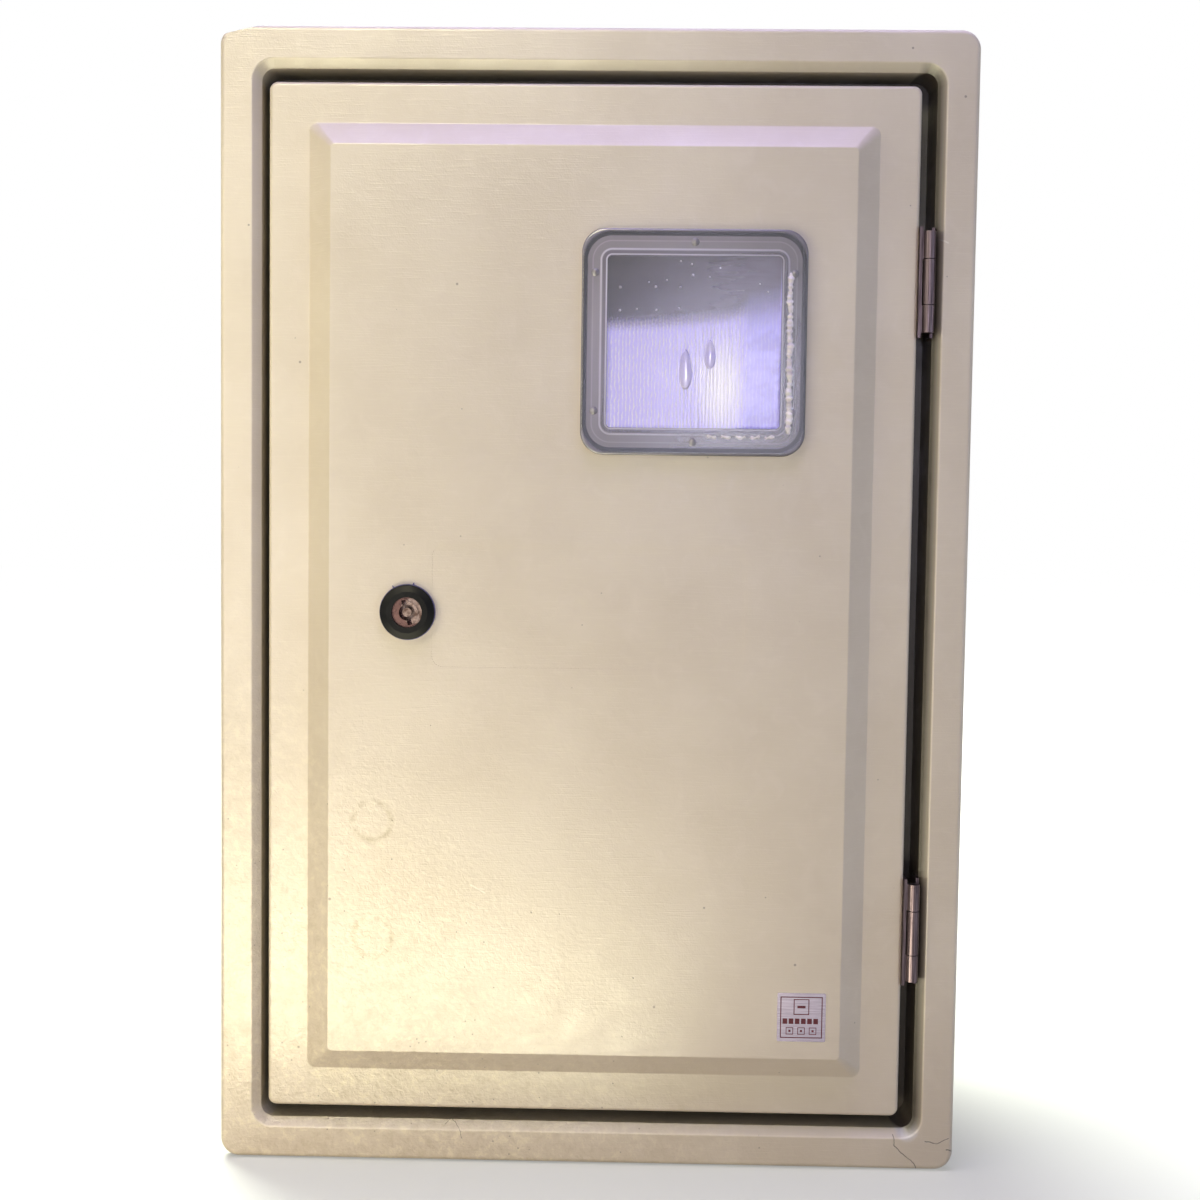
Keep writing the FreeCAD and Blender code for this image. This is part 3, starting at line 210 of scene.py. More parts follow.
def outside_of(place: Socket, middle: tuple[float, float], half: tuple[float, float],
               corner: float) -> Socket:
    """How far a point lies outside an upright rectangle with round corners, negative inside it, in mm.

    With q the point's offset from the middle, made positive, less the half sizes and plus the
    corner's radius, it is the length of q's positive part, plus its larger value where both are
    negative, less the corner's radius.
    """
    flat = node("VectorMath", place, (middle[0], 0.0, middle[1]), operation="SUBTRACT")
    flat = node("VectorMath", flat, FLAT, operation="MULTIPLY")
    flat = node("VectorMath", flat, operation="ABSOLUTE")
    over = node("VectorMath", flat, (half[0] - corner, 0.0, half[1] - corner), operation="SUBTRACT")
    far = node("VectorMath", over, (0.0,) * 3, operation="MAXIMUM")
    far = node("VectorMath", far, operation="LENGTH", out="Value")
    x, _, z = node("SeparateXYZ", over, out=None).outputs
    inner = node("Math", joined("MAXIMUM", [x, z]), 0.0, operation="MINIMUM")
    return joined("ADD", [far, inner, -corner])


def ramp(value: Socket, low: float, high: float,
         stops: tuple[tuple[float, str, float], ...]) -> tuple[Socket, Socket]:
    """Colour and cover along a measure.

    Args:
        value: The measure.
        low: Its value at the ramp's start.
        high: Its value at the ramp's end.
        stops: Measure, colour and cover of each stop, in order.

    Returns:
        The colour and the cover.
    """
    share = node("MapRange", value, low, high)
    made = node("ValToRGB", share, out=None)
    held = made.color_ramp.elements
    for index, (at, code, cover) in enumerate(stops):
        stop = held[index] if index < 2 else held.new(1.0)
        stop.position, stop.color = (at - low) / (high - low), (*linear(code)[:3], cover)
    return made.outputs[0], made.outputs[1]


@dataclass(frozen=True)
class MouldedPolyester(Finish):
    """Hot-pressed glass-reinforced polyester: satin, faintly mottled by its flow, with short fibres near
    the skin, a fine orange peel and the marks of long use."""

    light: Tint = Tint("#dad0be")
    deep: str = "#d2c7b4"
    fleck: Tint = Tint("#eae2d0", 0.13)
    stain: Tint = Tint("#b9ac90", 0.32)
    wisp: Tint = Tint("#f3ebcf", 0.42)
    strand: Tint = Tint("#eae2d0", 0.09)
    pit: Tint = Tint("#4a4238", 0.40)
    speck: Tint = Tint("#4a4238", 0.55)
    ring: Tint = Tint("#b9ac90", 0.85)
    chalk: Tint = Tint("#f1f2f8", 0.75)
    scratch: Tint = Tint("#f4efe2", 0.55)
    crack: Tint = Tint("#57503f", 0.62)
    # Painted shade in the gutter and on the opening's sloped edge, darkest on the right slope.
    recess_shade: Tint = Tint("#382e22")
    # Size in mm, detail, roughness and distortion of the noise for the clouds, the mottling, the flow
    # lines, and the skin's grain and lumps.
    noises: tuple[tuple[float, float, float, float], ...] = (
        (70.0, 4.0, 0.5, 0.0), (14.0, 3.0, 0.5, 0.8), (6.0, 8.0, 0.72, 0.4), (0.9, 2.0, 0.5, 0.0),
        (2.2, 3.0, 0.5, 0.6))
    strand_size: tuple[float, float, float] = (18.0, 9.0, 0.7)
    pit_spacing: float = 5.0
    # The flow lines grow between these distances down the diagonal; marks lie ahead of the front.
    flow_from: float = 165.0
    flow_to: float = 340.0
    front: float = 198.2
    # Half sizes of the opening and of the gutter's rim, and the depths of the slope's foot and the floor.
    gutter: tuple[tuple[float, float], tuple[float, float], float, float] | None = None
    specks: tuple[Spot, ...] = ()
    rings: tuple[Spot, ...] = ()
    pale: tuple[Spot, ...] = ()
    cracks: tuple[Crack, ...] = ()
    scratches: tuple[Crack, ...] = ()

    def shade(self, place: Socket) -> Socket:
        """Clouds, mottling, flow lines and fibres, then the marks of the front and the painted shade of the
        gutter, on a lumpy skin.
        """
        clouds, mottle, flow, grain, lumps = (
            node("TexNoise", {"Vector": place, "Scale": 1 / size, "Detail": detail, "Roughness": roughness,
                              "Distortion": distortion})
            for size, detail, roughness, distortion in self.noises)
        layers = [(node("MapRange", clouds, 0.35, 0.65), self.light),
                  (node("MapRange", mottle, 0.52, 0.72), self.fleck)]

        # Flow lines show most towards the lower left, where the charge filled the mould last.
        diagonal = node("VectorMath", place, (-1.0, 0.0, -1.0), operation="DOT_PRODUCT", out="Value")
        region = node("MapRange", diagonal, self.flow_from, self.flow_to)
        for none, full, tint in ((0.52, 0.62, self.stain), (0.48, 0.38, self.wisp)):
            swirl = node("MapRange", flow, none, full)
            layers.append((joined("MULTIPLY", [swirl, region]), tint))

        strands, pits = self.strands(place), self.pits(place, region)
        marks, cuts = self.marks(place, flow)
        layers += [(strands, self.strand), (pits, self.pit), *marks]
        # Painted shade down the gutter.
        if self.gutter:
            layers.append((self.gutter_shade(place), self.recess_shade))

        # The skin: grain everywhere, and lumps that grow with the flow lines.
        lumps = joined("MULTIPLY", [lumps, node("MapRange", {0: region, 3: 0.3, 4: 3.0})])
        height = 0.0
        for pattern, weight in ((grain, 0.35), (lumps, 1.0), (mottle, 0.55), (strands, 0.16), (pits, -0.8),
                                *((cut, -2.5) for cut in cuts)):
            height = node("Math", pattern, weight, height, operation="MULTIPLY_ADD")
        bump = node("Bump", {"Strength": 0.75, "Distance": 0.20 * MM, "Height": height})
        rough = node("MapRange", mottle, 0.3, 0.7, 0.46, 0.34)
        return node("BsdfPrincipled", {"Base Color": overlay(self.deep, layers),
                                       "Roughness": rough, "IOR": 1.52, "Normal": bump})

    def strands(self, place: Socket) -> Socket:
        """A mask of chopped strands that lie in two main directions."""
        masks = []
        for turn in (0.6, -0.9):
            turned = node("Mapping", {"Vector": place, "Rotation": (0.0, turn, 0.0),
                                      "Scale": tuple(1 / size for size in self.strand_size)})
            weave = node("TexNoise", {"Vector": turned, "Scale": 1.0, "Detail": 1.0})
            masks.append(node("MapRange", weave, 0.60, 0.70))
        return joined("MAXIMUM", masks)

    def pits(self, place: Socket, region: Socket) -> Socket:
        """A mask of pits 0.35 to 0.55 mm in radius, few of them away from the flow lines."""
        cells = node("TexVoronoi", {"Vector": place, "Scale": 1 / self.pit_spacing}, out=None).outputs
        near = node("MapRange", cells["Distance"], 0.07, 0.11, 1.0, 0.0)
        chosen = node("SeparateColor", cells["Color"])
        limit = node("MapRange", {0: region, 3: 0.985, 4: 0.62})
        some = node("Math", chosen, limit, operation="GREATER_THAN")
        return joined("MULTIPLY", [near, some])

    def marks(self, place: Socket, flow: Socket) -> tuple[list[tuple[Socket, Tint]], list[Socket]]:
        """The marks of the front.

        Args:
            place: Object coordinates in millimetres.
            flow: The flow lines' noise, which breaks the rings.

        Returns:
            Mask and tint of each kind of mark, and the masks of those that cut into the skin.
        """
        flat = node("VectorMath", place, FLAT, operation="MULTIPLY")
        depth = node("SeparateXYZ", place, out=1)
        ahead = node("Math", depth, -self.front, operation="LESS_THAN")
        # Hairlines wander by about 0.6 mm over 5 mm.
        wander = node("TexNoise", {"Vector": flat, "Scale": 1 / 5, "Detail": 2.0}, out="Color")
        wander = node("VectorMath", wander, (0.5,) * 3, operation="SUBTRACT")
        bent = node("VectorMath", wander, (3.0, 0.0, 3.0), flat, operation="MULTIPLY_ADD")
        layers, cuts = [], []
        for masks, tint in (
                ([spot_mask(flat, spot, 0.35) for spot in self.specks], self.speck),
                (self.ring_masks(flat, flow), self.ring),
                ([spot_mask(flat, spot, spot.radius) for spot in self.pale], self.chalk),
                (line_masks(flat, self.scratches), self.scratch),
                (line_masks(bent, self.cracks), self.crack)):
            if masks:
                mark = joined("MULTIPLY", [joined("MAXIMUM", masks), ahead])
                layers.append((mark, tint))
                if tint is self.crack:
                    cuts.append(mark)
        return layers, cuts

    def gutter_shade(self, place: Socket) -> Socket:
        """Painted shade on the opening's sloped edge, and ever darker down the gutter between opening and
        rim.
        """
        opening, rim, slope, floor = self.gutter
        opening_corner, rim_corner = 0.5, 16.0
        x, depth, _ = node("SeparateXYZ", place, out=None).outputs
        deep = ramp(depth, -200.0, -170.0, tuple(
            (at, self.recess_shade.code, cover) for at, cover in (
                (-199.95, 0.0), (-199.2, 0.12), (-195.0, 0.26), (-191.0, 0.40), (-171.0, 0.93))))[1]
        # The right slope gets the most painted shade.
        side = node("MapRange", x, 168.0, 176.0, 1.0, 4.8)
        deep = node("Math", deep, side, operation="MULTIPLY", use_clamp=True)
        reach = node("MapRange", depth, 0.1 - slope, 0.3 - slope, 4.9, 0.3)
        limits = (("LESS_THAN", outside_of(place, (0.0, 0.0), opening, opening_corner), reach),
                  ("GREATER_THAN", outside_of(place, (0.0, 0.0), rim, rim_corner), -0.3),
                  ("LESS_THAN", depth, 0.2 - floor))
        return joined("MULTIPLY", [deep, *(joined(operation, [value, limit])
                                           for operation, value, limit in limits)])

    def ring_masks(self, flat: Socket, broken: Socket) -> list[Socket]:
        """Rings left by something round: 2.2 mm either side of each radius, worn through in places."""
        masks = []
        for ring in self.rings:
            away = node("VectorMath", flat, (ring.x, 0.0, ring.z), operation="DISTANCE", out="Value")
            off = node("Math", away, ring.radius, operation="SUBTRACT")
            off = node("Math", off, operation="ABSOLUTE")
            line = node("MapRange", off, 0.2, 2.2, 1.0, 0.0)
            worn = node("MapRange", broken, 0.42, 0.58)
            masks.append(joined("MULTIPLY", [line, worn]))
        return masks


@dataclass(frozen=True)
class ClearPolycarbonate(Finish):
    """Moulded polycarbonate, water clear, whose frame is covered in grey and whose pane is covered in
    painted light: painted shade over its upper part, and over its finely rippled lower part a painted
    lavender reflection with painted glints and a painted highlight. Lengths in mm from the pane's middle."""

    tint: str = "#eef0f6"
    # Painted shade over the upper pane, lighter at the right; a painted lavender reflection over the lower
    # pane, bluer and blotched at the right, with painted glints along its ripples.
    upper_shade_left: str = "#474247"
    upper_shade_right: Tint = Tint("#857f93")
    reflection: str = "#c4bdff"
    right_reflection: Tint = Tint("#b4adff")
    blotch: Tint = Tint("#7d76c4", 0.42)
    ripple_glint: Tint = Tint("#f5f3ff", 0.85)
    # The glow is a painted highlight on the lower pane.
    glow: Tint = Tint("#ffffff")
    middle: tuple[float, float] = (51.5, 140.0)
    half: tuple[float, float] = (45.6, 44.8)
    pane_corner: float = 2.5
    # The frame outside the pane: distance, colour and cover. The white zones at 0.4 and 3.3 mm are painted
    # highlights at the ridge's edges, the nearly black zone is the seal behind it, darkened with painted
    # shade, and the last zones are a painted highlight on the lip.
    zones: tuple[tuple[float, str, float], ...] = (
        (-0.2, "#4d4855", 0.60), (0.4, "#ebe6f4", 0.85), (1.1, "#7d7681", 0.66), (2.5, "#8b8490", 0.64),
        (3.3, "#e2ddea", 0.80), (4.1, "#9b949b", 0.66), (7.1, "#9e979e", 0.66), (7.6, "#b4adb4", 0.70),
        (8.1, "#9b949b", 0.66), (10.1, "#9e979e", 0.66), (10.5, "#05040f", 0.97), (12.2, "#080616", 0.97),
        (12.6, "#5f5966", 0.70), (13.3, "#8a8492", 0.80))
    # The upper edge of the painted reflection, where the painted shade above it ends, as x and z, and the
    # height that stands for 1 in its curve.
    reflection_top: tuple[tuple[float, float], ...] = (
        (-49.0, 8.0), (-28.0, 9.5), (0.0, 11.0), (20.0, 13.5), (29.0, 17.0), (45.0, 22.0))
    reflection_scale: float = 30.0
    # Middle and half sizes of the painted highlight.
    highlight_at: tuple[float, float] = (14.5, -22.5)
    highlight_half: tuple[float, float] = (14.0, 27.0)
    right_from: float = 26.0
    ripple_pitch: float = 1.9

    def reflection_edge(self, x: Socket) -> Socket:
        """The height of the painted reflection's upper edge, as a curve of x."""
        first, last = self.reflection_top[0][0], self.reflection_top[-1][0]
        share = node("MapRange", x, first, last)
        curve = node("FloatCurve", {"Value": share}, out=None)
        points = curve.mapping.curves[0].points
        for index, (px, pz) in enumerate(self.reflection_top):
            at = ((px - first) / (last - first), pz / self.reflection_scale)
            if index in (0, len(self.reflection_top) - 1):
                points[min(index, 1)].location = at
            else:
                points.new(*at)
        curve.mapping.update()
        return joined("MULTIPLY", [curve.outputs[0], self.reflection_scale])

    def shade(self, place: Socket) -> Socket:
        """Clear glass, mixed with painted shade and a painted reflection inside the pane, and with grey,
        painted highlights and painted shade on the frame.
        """
        local = node("VectorMath", place, (self.middle[0], 0.0, self.middle[1]), operation="SUBTRACT")
        x, _, z = node("SeparateXYZ", local, out=None).outputs
        outside = outside_of(place, self.middle, self.half, self.pane_corner)
        pane = node("MapRange", outside, -0.3, 0.1, 1.0, 0.0)

        # The painted reflection's part: a soft edge about 11 mm deep, made ragged by grit and steeper at the
        # right.
        grit = node("TexNoise", {"Vector": local, "Scale": 1 / 0.9, "Detail": 2.0})
        top = node("Math", grit, 5.0, self.reflection_edge(x), operation="MULTIPLY_ADD")
        depth = node("Math", top, z, operation="SUBTRACT")
        right = node("MapRange", x, self.right_from - 2, self.right_from + 3)
        steep = node("MapRange", {0: right, 3: 1.0, 4: 0.4})
        depth = joined("MULTIPLY", [depth, steep])
        lower = node("MapRange", depth, -4.0, 7.0, interpolation_type="SMOOTHSTEP")
        lower = joined("MULTIPLY", [lower, pane])
        calm = node("MapRange", {0: right, 3: 1.0, 4: 0.25})
        line = self.ripples(local, calm)
        reflection = self.painted_reflection(local, right, calm, line)

        # The painted shade's part: faint level streaks, lighter towards the right.
        across = node("MapRange", x, -self.half[0], self.half[0])
        level = node("Mapping", {"Vector": local, "Scale": (1 / 22, 1.0, 1 / 2.5)})
        streak = node("TexNoise", {"Vector": level, "Scale": 1.0, "Detail": 5.0})
        across = node("Math", streak, 0.9, across, operation="MULTIPLY_ADD")
        across = node("Math", across, 0.45, operation="SUBTRACT")
        upper_shade = overlay(self.upper_shade_left, [(across, self.upper_shade_right)])
        pane_colour = node("Mix", {0: lower, 6: upper_shade, 7: reflection}, data_type="RGBA", out=2)
        cover = node("MapRange", {0: lower, 3: 0.66, 4: 0.96})

        # The frame: a painted highlight line at each edge of its ridge, the seal's ring with painted shade
        # and a painted highlight on the lip, all of them darker towards the right and the foot as painted
        # shade.
        worn, thick = ramp(outside, -1.0, 14.0, self.zones)
        side_shade = node("Math", x, z, operation="SUBTRACT")
        side_shade = node("MapRange", side_shade, -60.0, 60.0, 1.05, 0.5)
        worn = node("VectorMath", {0: worn, "Scale": side_shade}, operation="SCALE")
        pane_colour = node("Mix", {0: pane, 6: worn, 7: pane_colour}, data_type="RGBA", out=2)
        cover = node("Mix", {0: pane, 2: thick, 3: cover})

        height = joined("MULTIPLY", [line, lower])
        height = node("Math", grit, 0.4, height, operation="MULTIPLY_ADD")
        bump = node("Bump", {"Strength": 0.5, "Distance": 0.2 * MM, "Height": height})
        clear = node("BsdfPrincipled", {
            "Base Color": linear(self.tint), "Roughness": 0.03, "IOR": 1.58, "Transmission Weight": 1.0,
            "Normal": bump})
        dried = node("BsdfPrincipled", {
            "Base Color": pane_colour, "Roughness": 0.22, "IOR": 1.58, "Normal": bump})
        return node("MixShader", cover, clear, dried)

    def ripples(self, local: Socket, calm: Socket) -> Socket:
        """Upright ripples that wander by 1 mm, broken into painted glints every few millimetres. A wave
        texture's period is pi / 10 over its scale."""
        wave = node("TexWave", {"Vector": local, "Scale": math.pi / 10 / self.ripple_pitch,
                                "Distortion": 3.4, "Detail": 3.0, "Detail Scale": 1.3},
                    bands_direction="X", out=1)
        glint = node("Mapping", {"Vector": local, "Scale": (1 / 1.1, 1.0, 1 / 3.5)})
        glint = node("TexNoise", {"Vector": glint, "Scale": 1.0, "Detail": 2.0})
        return joined("MULTIPLY", [
            node("MapRange", wave, 0.45, 0.98),
            node("MapRange", glint, 0.36, 0.60, 0.25, 1.0), calm])

    def painted_reflection(self, local: Socket, right: Socket, calm: Socket, line: Socket) -> Socket:
        """The painted reflection's colour: blotches of 8 mm at the right, painted glints along the ripples,
        and a painted highlight 28 mm wide and 54 mm high that is strongest along the ripples."""
        blot = node("TexNoise", {"Vector": local, "Scale": 1 / 8, "Detail": 4.0})
        blot = node("MapRange", blot, 0.44, 0.62)
        away = node("VectorMath", local, (self.highlight_at[0], 0.0, self.highlight_at[1]), operation="SUBTRACT")
        away = node("VectorMath", away, (1 / self.highlight_half[0], 0.0, 1 / self.highlight_half[1]),
                    operation="MULTIPLY")
        away = node("VectorMath", away, operation="LENGTH", out="Value")
        spot = node("MapRange", away, 0.1, 1.25, 1.0, 0.0, interpolation_type="SMOOTHSTEP")
        bright = node("MapRange", {0: line, 3: 0.78, 4: 1.0})
        return overlay(self.reflection, [
            (right, self.right_reflection), (joined("MULTIPLY", [blot, right]), self.blotch),
            (line, self.ripple_glint), (joined("MULTIPLY", [spot, bright, calm]), self.glow)])


@dataclass(frozen=True)
class PlainMoulding(Finish):
    """A moulded or extruded polymer of one colour, with a fine grain."""

    colour: str
    worn: str
    roughness: float
    ior: float
    grain: float
    relief: float
    gloss: float = 0.5

    def shade(self, place: Socket) -> Socket:
        """Two close colours mixed by 6 mm clouds, and a bump whose grain is the given size in mm."""
        clouds = node("TexNoise", {"Vector": place, "Scale": 1 / 6, "Detail": 4.0})
        share = node("MapRange", clouds, 0.4, 0.7)
        grain = node("TexNoise", {"Vector": place, "Scale": 1 / self.grain, "Detail": 2.0})
        bump = node("Bump", {"Strength": 0.5, "Distance": self.relief * MM, "Height": grain})
        rough = node("MapRange", clouds, 0.3, 0.7, self.roughness - 0.05, self.roughness + 0.07)
        return node("BsdfPrincipled", {
            "Base Color": overlay(self.colour, [(share, Tint(self.worn))]), "Roughness": rough,
            "IOR": self.ior, "Specular IOR Level": self.gloss, "Normal": bump})


@dataclass(frozen=True)
class Metal(Finish):
    """A bare or plated metal with the drawn or cast texture of how it was made."""

    bright: str
    dull: str
    roughness: float
    across: tuple[float, float, float]
    relief: float
    # A round outside which the metal is darkened with painted shade, and the colour of that shade.
    unshaded_round: Spot | None = None
    brown: Tint = Tint("#4d3a38")

    def shade(self, place: Socket) -> Socket:
        """Noise whose features have the three given sizes in mm mixes the two colours and moves the
        roughness, and tarnish lies in spots of 5 mm."""
        drawn = node("Mapping", {"Vector": place, "Scale": tuple(1 / length for length in self.across)})
        lines = node("TexNoise", {"Vector": drawn, "Scale": 1.0, "Detail": 4.0, "Roughness": 0.6})
        tarnish = node("TexNoise", {"Vector": place, "Scale": 1 / 5, "Detail": 5.0})
        layers = [(node("MapRange", lines, 0.35, 0.65), Tint(self.bright)),
                  (node("MapRange", tarnish, 0.62, 0.74), Tint(self.dull, 0.4))]
        if self.unshaded_round:
            # Painted shade: beyond this round the metal is darkened to brown, and within it left as it is.
            flat = node("VectorMath", place, FLAT, operation="MULTIPLY")
            beyond = node("Math", 1.0, spot_mask(flat, self.unshaded_round, 0.7), operation="SUBTRACT")
            layers.append((beyond, self.brown))
        rough = node("MapRange", lines, 0.3, 0.7, self.roughness + 0.08, self.roughness - 0.06)
        bump = node("Bump", {"Strength": 0.4, "Distance": self.relief * MM, "Height": lines})
        return node("BsdfPrincipled", {"Base Color": overlay(self.dull, layers), "Metallic": 1.0,
                                       "Roughness": rough, "Normal": bump})


@dataclass(frozen=True)
class Spangle(Finish):
    """Hot-dip galvanised sheet: flat crystals of about 7 mm, each with its own grey."""

    bright: str
    dull: str

    def shade(self, place: Socket) -> Socket:
        """Voronoi cells give each crystal its grey and its gloss."""
        cells = node("TexVoronoi", {"Vector": place, "Scale": 1 / 7}, out="Color")
        grey = node("SeparateColor", cells)
        rough = node("MapRange", {0: grey, 3: 0.55, 4: 0.42})
        colour = overlay(self.dull, [(grey, Tint(self.bright))])
        return node("BsdfPrincipled", {"Base Color": colour, "Metallic": 1.0, "Roughness": rough})


# Hot-pressed polyester: a satin skin, warm grey beige.
SHELL_POLYESTER = MouldedPolyester(
    "moulded_polyester_shell", "polyester", front=194.6,
    gutter=((178.5, 283.5), (160.5, 265.5), 195.5, 170.0),
    specks=(Spot(192.2, 270.4, 0.5), Spot(164.1, 295.2, 0.4), Spot(-184.7, 200.6, 0.4)),
    pale=(Spot(175.0, -283.5, 3.4),),
    cracks=(Crack(((167.1, -286.4), (168.4, -292.2), (174.6, -297.4), (177.2, -299.2),
                   (180.3, -304.2)), 0.17),
            Crack(((184.7, -289.6), (191.6, -289.9), (197.6, -287.0)), 0.15),
            Crack(((196.2, -293.6), (199.8, -294.6)), 0.15),
            Crack(((-76.7, -285.7), (-73.5, -283.0), (-70.5, -285.5), (-68.6, -289.0), (-67.3, -292.2)),
                  0.12)),
    scratches=(Crack(((178.5, 197.5), (185.0, 194.5)), 0.25),))
DOOR_POLYESTER = MouldedPolyester(
    "moulded_polyester_door", "polyester",
    specks=(Spot(-73.0, 169.6, 0.5), Spot(-139.0, -158.9, 0.6), Spot(36.2, -214.8, 0.5),
            Spot(111.4, -190.5, 0.5), Spot(62.2, -160.3, 0.4), Spot(-157.4, 128.7, 0.5),
            Spot(-157.3, -243.6, 0.5)),
    rings=(Spot(-116.4, -116.1, 10.4), Spot(-116.0, -179.2, 10.4)),
    scratches=(Crack(((-62.9, -150.0), (-55.3, -154.2)), 0.25),
               Crack(((-60.5, -151.6), (-55.8, -152.2)), 0.15)))
# Injection-moulded polycarbonate: hard, glossy and clear, IOR 1.58, with painted shade, a painted reflection
# and painted highlights on its pane and frame.
CLEAR = ClearPolycarbonate("moulded_clear_polycarbonate", "clear_polycarbonate")
# Extruded rubber seal: dark indigo black with a dull gloss.
SEAL = PlainMoulding("extruded_seal_rubber", "seal_rubber", "#4a437a", "#565088", 0.42, 1.52, 1.2, 0.05)
# Closed-cell foam: matt black, open 1 mm cells at its cut faces.
FOAM = PlainMoulding("closed_cell_foam", "foam_rubber", "#26241f", "#35322b", 0.85, 1.45, 1.0, 0.25)
# Glass-filled nylon: black and dull, with a fine spark-eroded grain.
NYLON = PlainMoulding("moulded_black_nylon", "black_nylon", "#08080a", "#101012", 0.42, 1.53, 0.5, 0.04,
                      0.06)
# Cured silicone squeezed out of the joint: glossy, milky and faintly pink.
SILICONE = PlainMoulding("cured_silicone_bead", "seal_rubber", "#efe8f0", "#fbf8fc", 0.16, 1.41, 1.5, 0.5)
# Die-cast zinc: a soft grey shine with a pebbled skin, and painted shade on the core's left, outside a round
# set right of its middle.
ZINC_CASTING = Metal("die_cast_zinc", "zinc_casting", "#85746f", "#3d302c", 0.28, (3.0, 3.0, 3.0), 0.08,
                     Spot(-94.6, -2.6, 6.4))
# Yellow-brown passivated steel, drawn upright along the leaf.
HINGE = Metal("passivated_hinge_steel", "hinge_steel", "#5c5156", "#261f24", 0.36, (0.5, 0.5, 26.0), 0.04)
# Rolled aluminium rivets.
RIVET = Metal("drawn_aluminium_rivet", "rivet_alloy", "#dcdcda", "#a9a9a7", 0.32, (0.8, 0.8, 0.8), 0.02)
# Bright zinc plate with its faint rolling lines.
ZINC_PLATE = Metal("bright_zinc_plate", "zinc_steel", "#d5d7da", "#a3a6ab", 0.28, (9.0, 0.8, 0.8), 0.02)
# Hot-dip galvanised sheet: mid grey crystals with a dull shine.
GALVANISED = Spangle("galvanised_sheet", "galvanised_steel", "#b0b4b6", "#82888c")
# Turned brass, gone slightly brown.
BRASS = Metal("turned_brass", "brass", "#d9b566", "#94702f", 0.25, (0.6, 6.0, 0.6), 0.02)
# Brushed aluminium foil under a clear coat, cool grey.
FOIL = Metal("brushed_label_foil", "label_foil", "#8b8492", "#736c7b", 0.42, (14.0, 1.0, 0.35), 0.01)
# Screen-printed enamel on the foil.
PRINT = PlainMoulding("maroon_label_print", "label_foil", "#4c1422", "#5c1f2e", 0.5, 1.5, 0.6, 0.01, 0.2)
# Skin of a trapped air bubble: pale grey and glossy.
BUBBLE = PlainMoulding("air_bubble_skin", "clear_polycarbonate", "#a9a5b6", "#dcd9e6", 0.12, 1.45, 1.5,
                       0.03)
# Dried runs on the pane: smooth, without the ripples, and lavender as painted reflection.
RUN = PlainMoulding("dried_run_skin", "clear_polycarbonate", "#d2ccff", "#e0dcff", 0.12, 1.5, 2.0, 0.04)
# Heads of the window's moulded studs: smoky, rounded and glossy.
STUD = PlainMoulding("moulded_stud_head", "clear_polycarbonate", "#67626c", "#8f8a96", 0.10, 1.58, 1.0,
                     0.03)


def add_mesh(name: str, points: np.ndarray, faces: np.ndarray | list, finish: Finish, body: Body,
             smooth: bool = True) -> bpy.types.Object:
    """Makes one piece from its points in millimetres.

    Args:
        name: The piece's name.
        points: Its vertices, N by 3.
        faces: Vertex numbers, M by 4 or M by 3.
        finish: What it is made of.
        body: The body that it moves with.
        smooth: True for smooth shading.

    Returns:
        The new object, which sits at the origin.
    """
    mesh = bpy.data.meshes.new(name)
    mesh.from_pydata((points * MM).tolist(), [], faces if isinstance(faces, list) else faces.tolist())
    mesh.polygons.foreach_set("use_smooth", [smooth] * len(mesh.polygons))
    mesh.materials.append(finish.material())
    mesh.update()
    made = bpy.data.objects.new(name, mesh)
    bpy.context.scene.collection.objects.link(made)
    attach(made, body.value)
    return made


def ring_faces(rings: int, sides: int) -> np.ndarray:
    """Quads between rings of points: each joins point j and j + 1 of ring i to those of ring i + 1."""
    i, j = np.meshgrid(np.arange(rings - 1), np.arange(sides), indexing="ij")
    after = (j + 1) % sides
    return np.stack([i * sides + j, i * sides + after, (i + 1) * sides + after, (i + 1) * sides + j],
                    axis=-1).reshape(-1, 4)


def bead(path: np.ndarray, half_width: np.ndarray, back: float, rise: np.ndarray,
         sides: int = 14) -> tuple[np.ndarray, np.ndarray]:
    """A bead laid on a flat face: half-ellipses across its path, closed at both ends.

    At share s of the path the section is the middle line plus half_width(s) cos(t) across it, and
    back plus rise(s) sin(t) ahead, for t round the whole turn with the rear half flattened to zero.
    Both shrink to nothing at the ends by the square root of a steep sine of s that is clipped to 1.

    Args:
        path: Middle line as x and z, N by 2.
        half_width: Half width at each point.
        back: Distance ahead of the origin at which the bead's flat underside lies.
        rise: Height at each point.
        sides: Points round the section.

    Returns:
        Points and quads.
    """
    run = np.gradient(path, axis=0)
    run /= np.linalg.norm(run, axis=1, keepdims=True)
    across = np.stack([-run[:, 1], run[:, 0]], axis=1)
    turn = np.linspace(0, 2 * np.pi, sides, endpoint=False)
    steepness = 12
    taper = np.sqrt(np.clip(np.sin(np.pi * np.linspace(0.0, 1.0, len(path))) * steepness, 0, 1))
    wide = (half_width * taper)[:, None] * np.cos(turn)
    high = (rise * taper)[:, None] * np.clip(np.sin(turn), 0, 1)
    flat = path[:, None, :] + across[:, None, :] * wide[:, :, None]
    points = np.stack([flat[..., 0], -(back + high), flat[..., 1]], axis=-1).reshape(-1, 3)
    return points, ring_faces(len(path), sides)[:, ::-1]


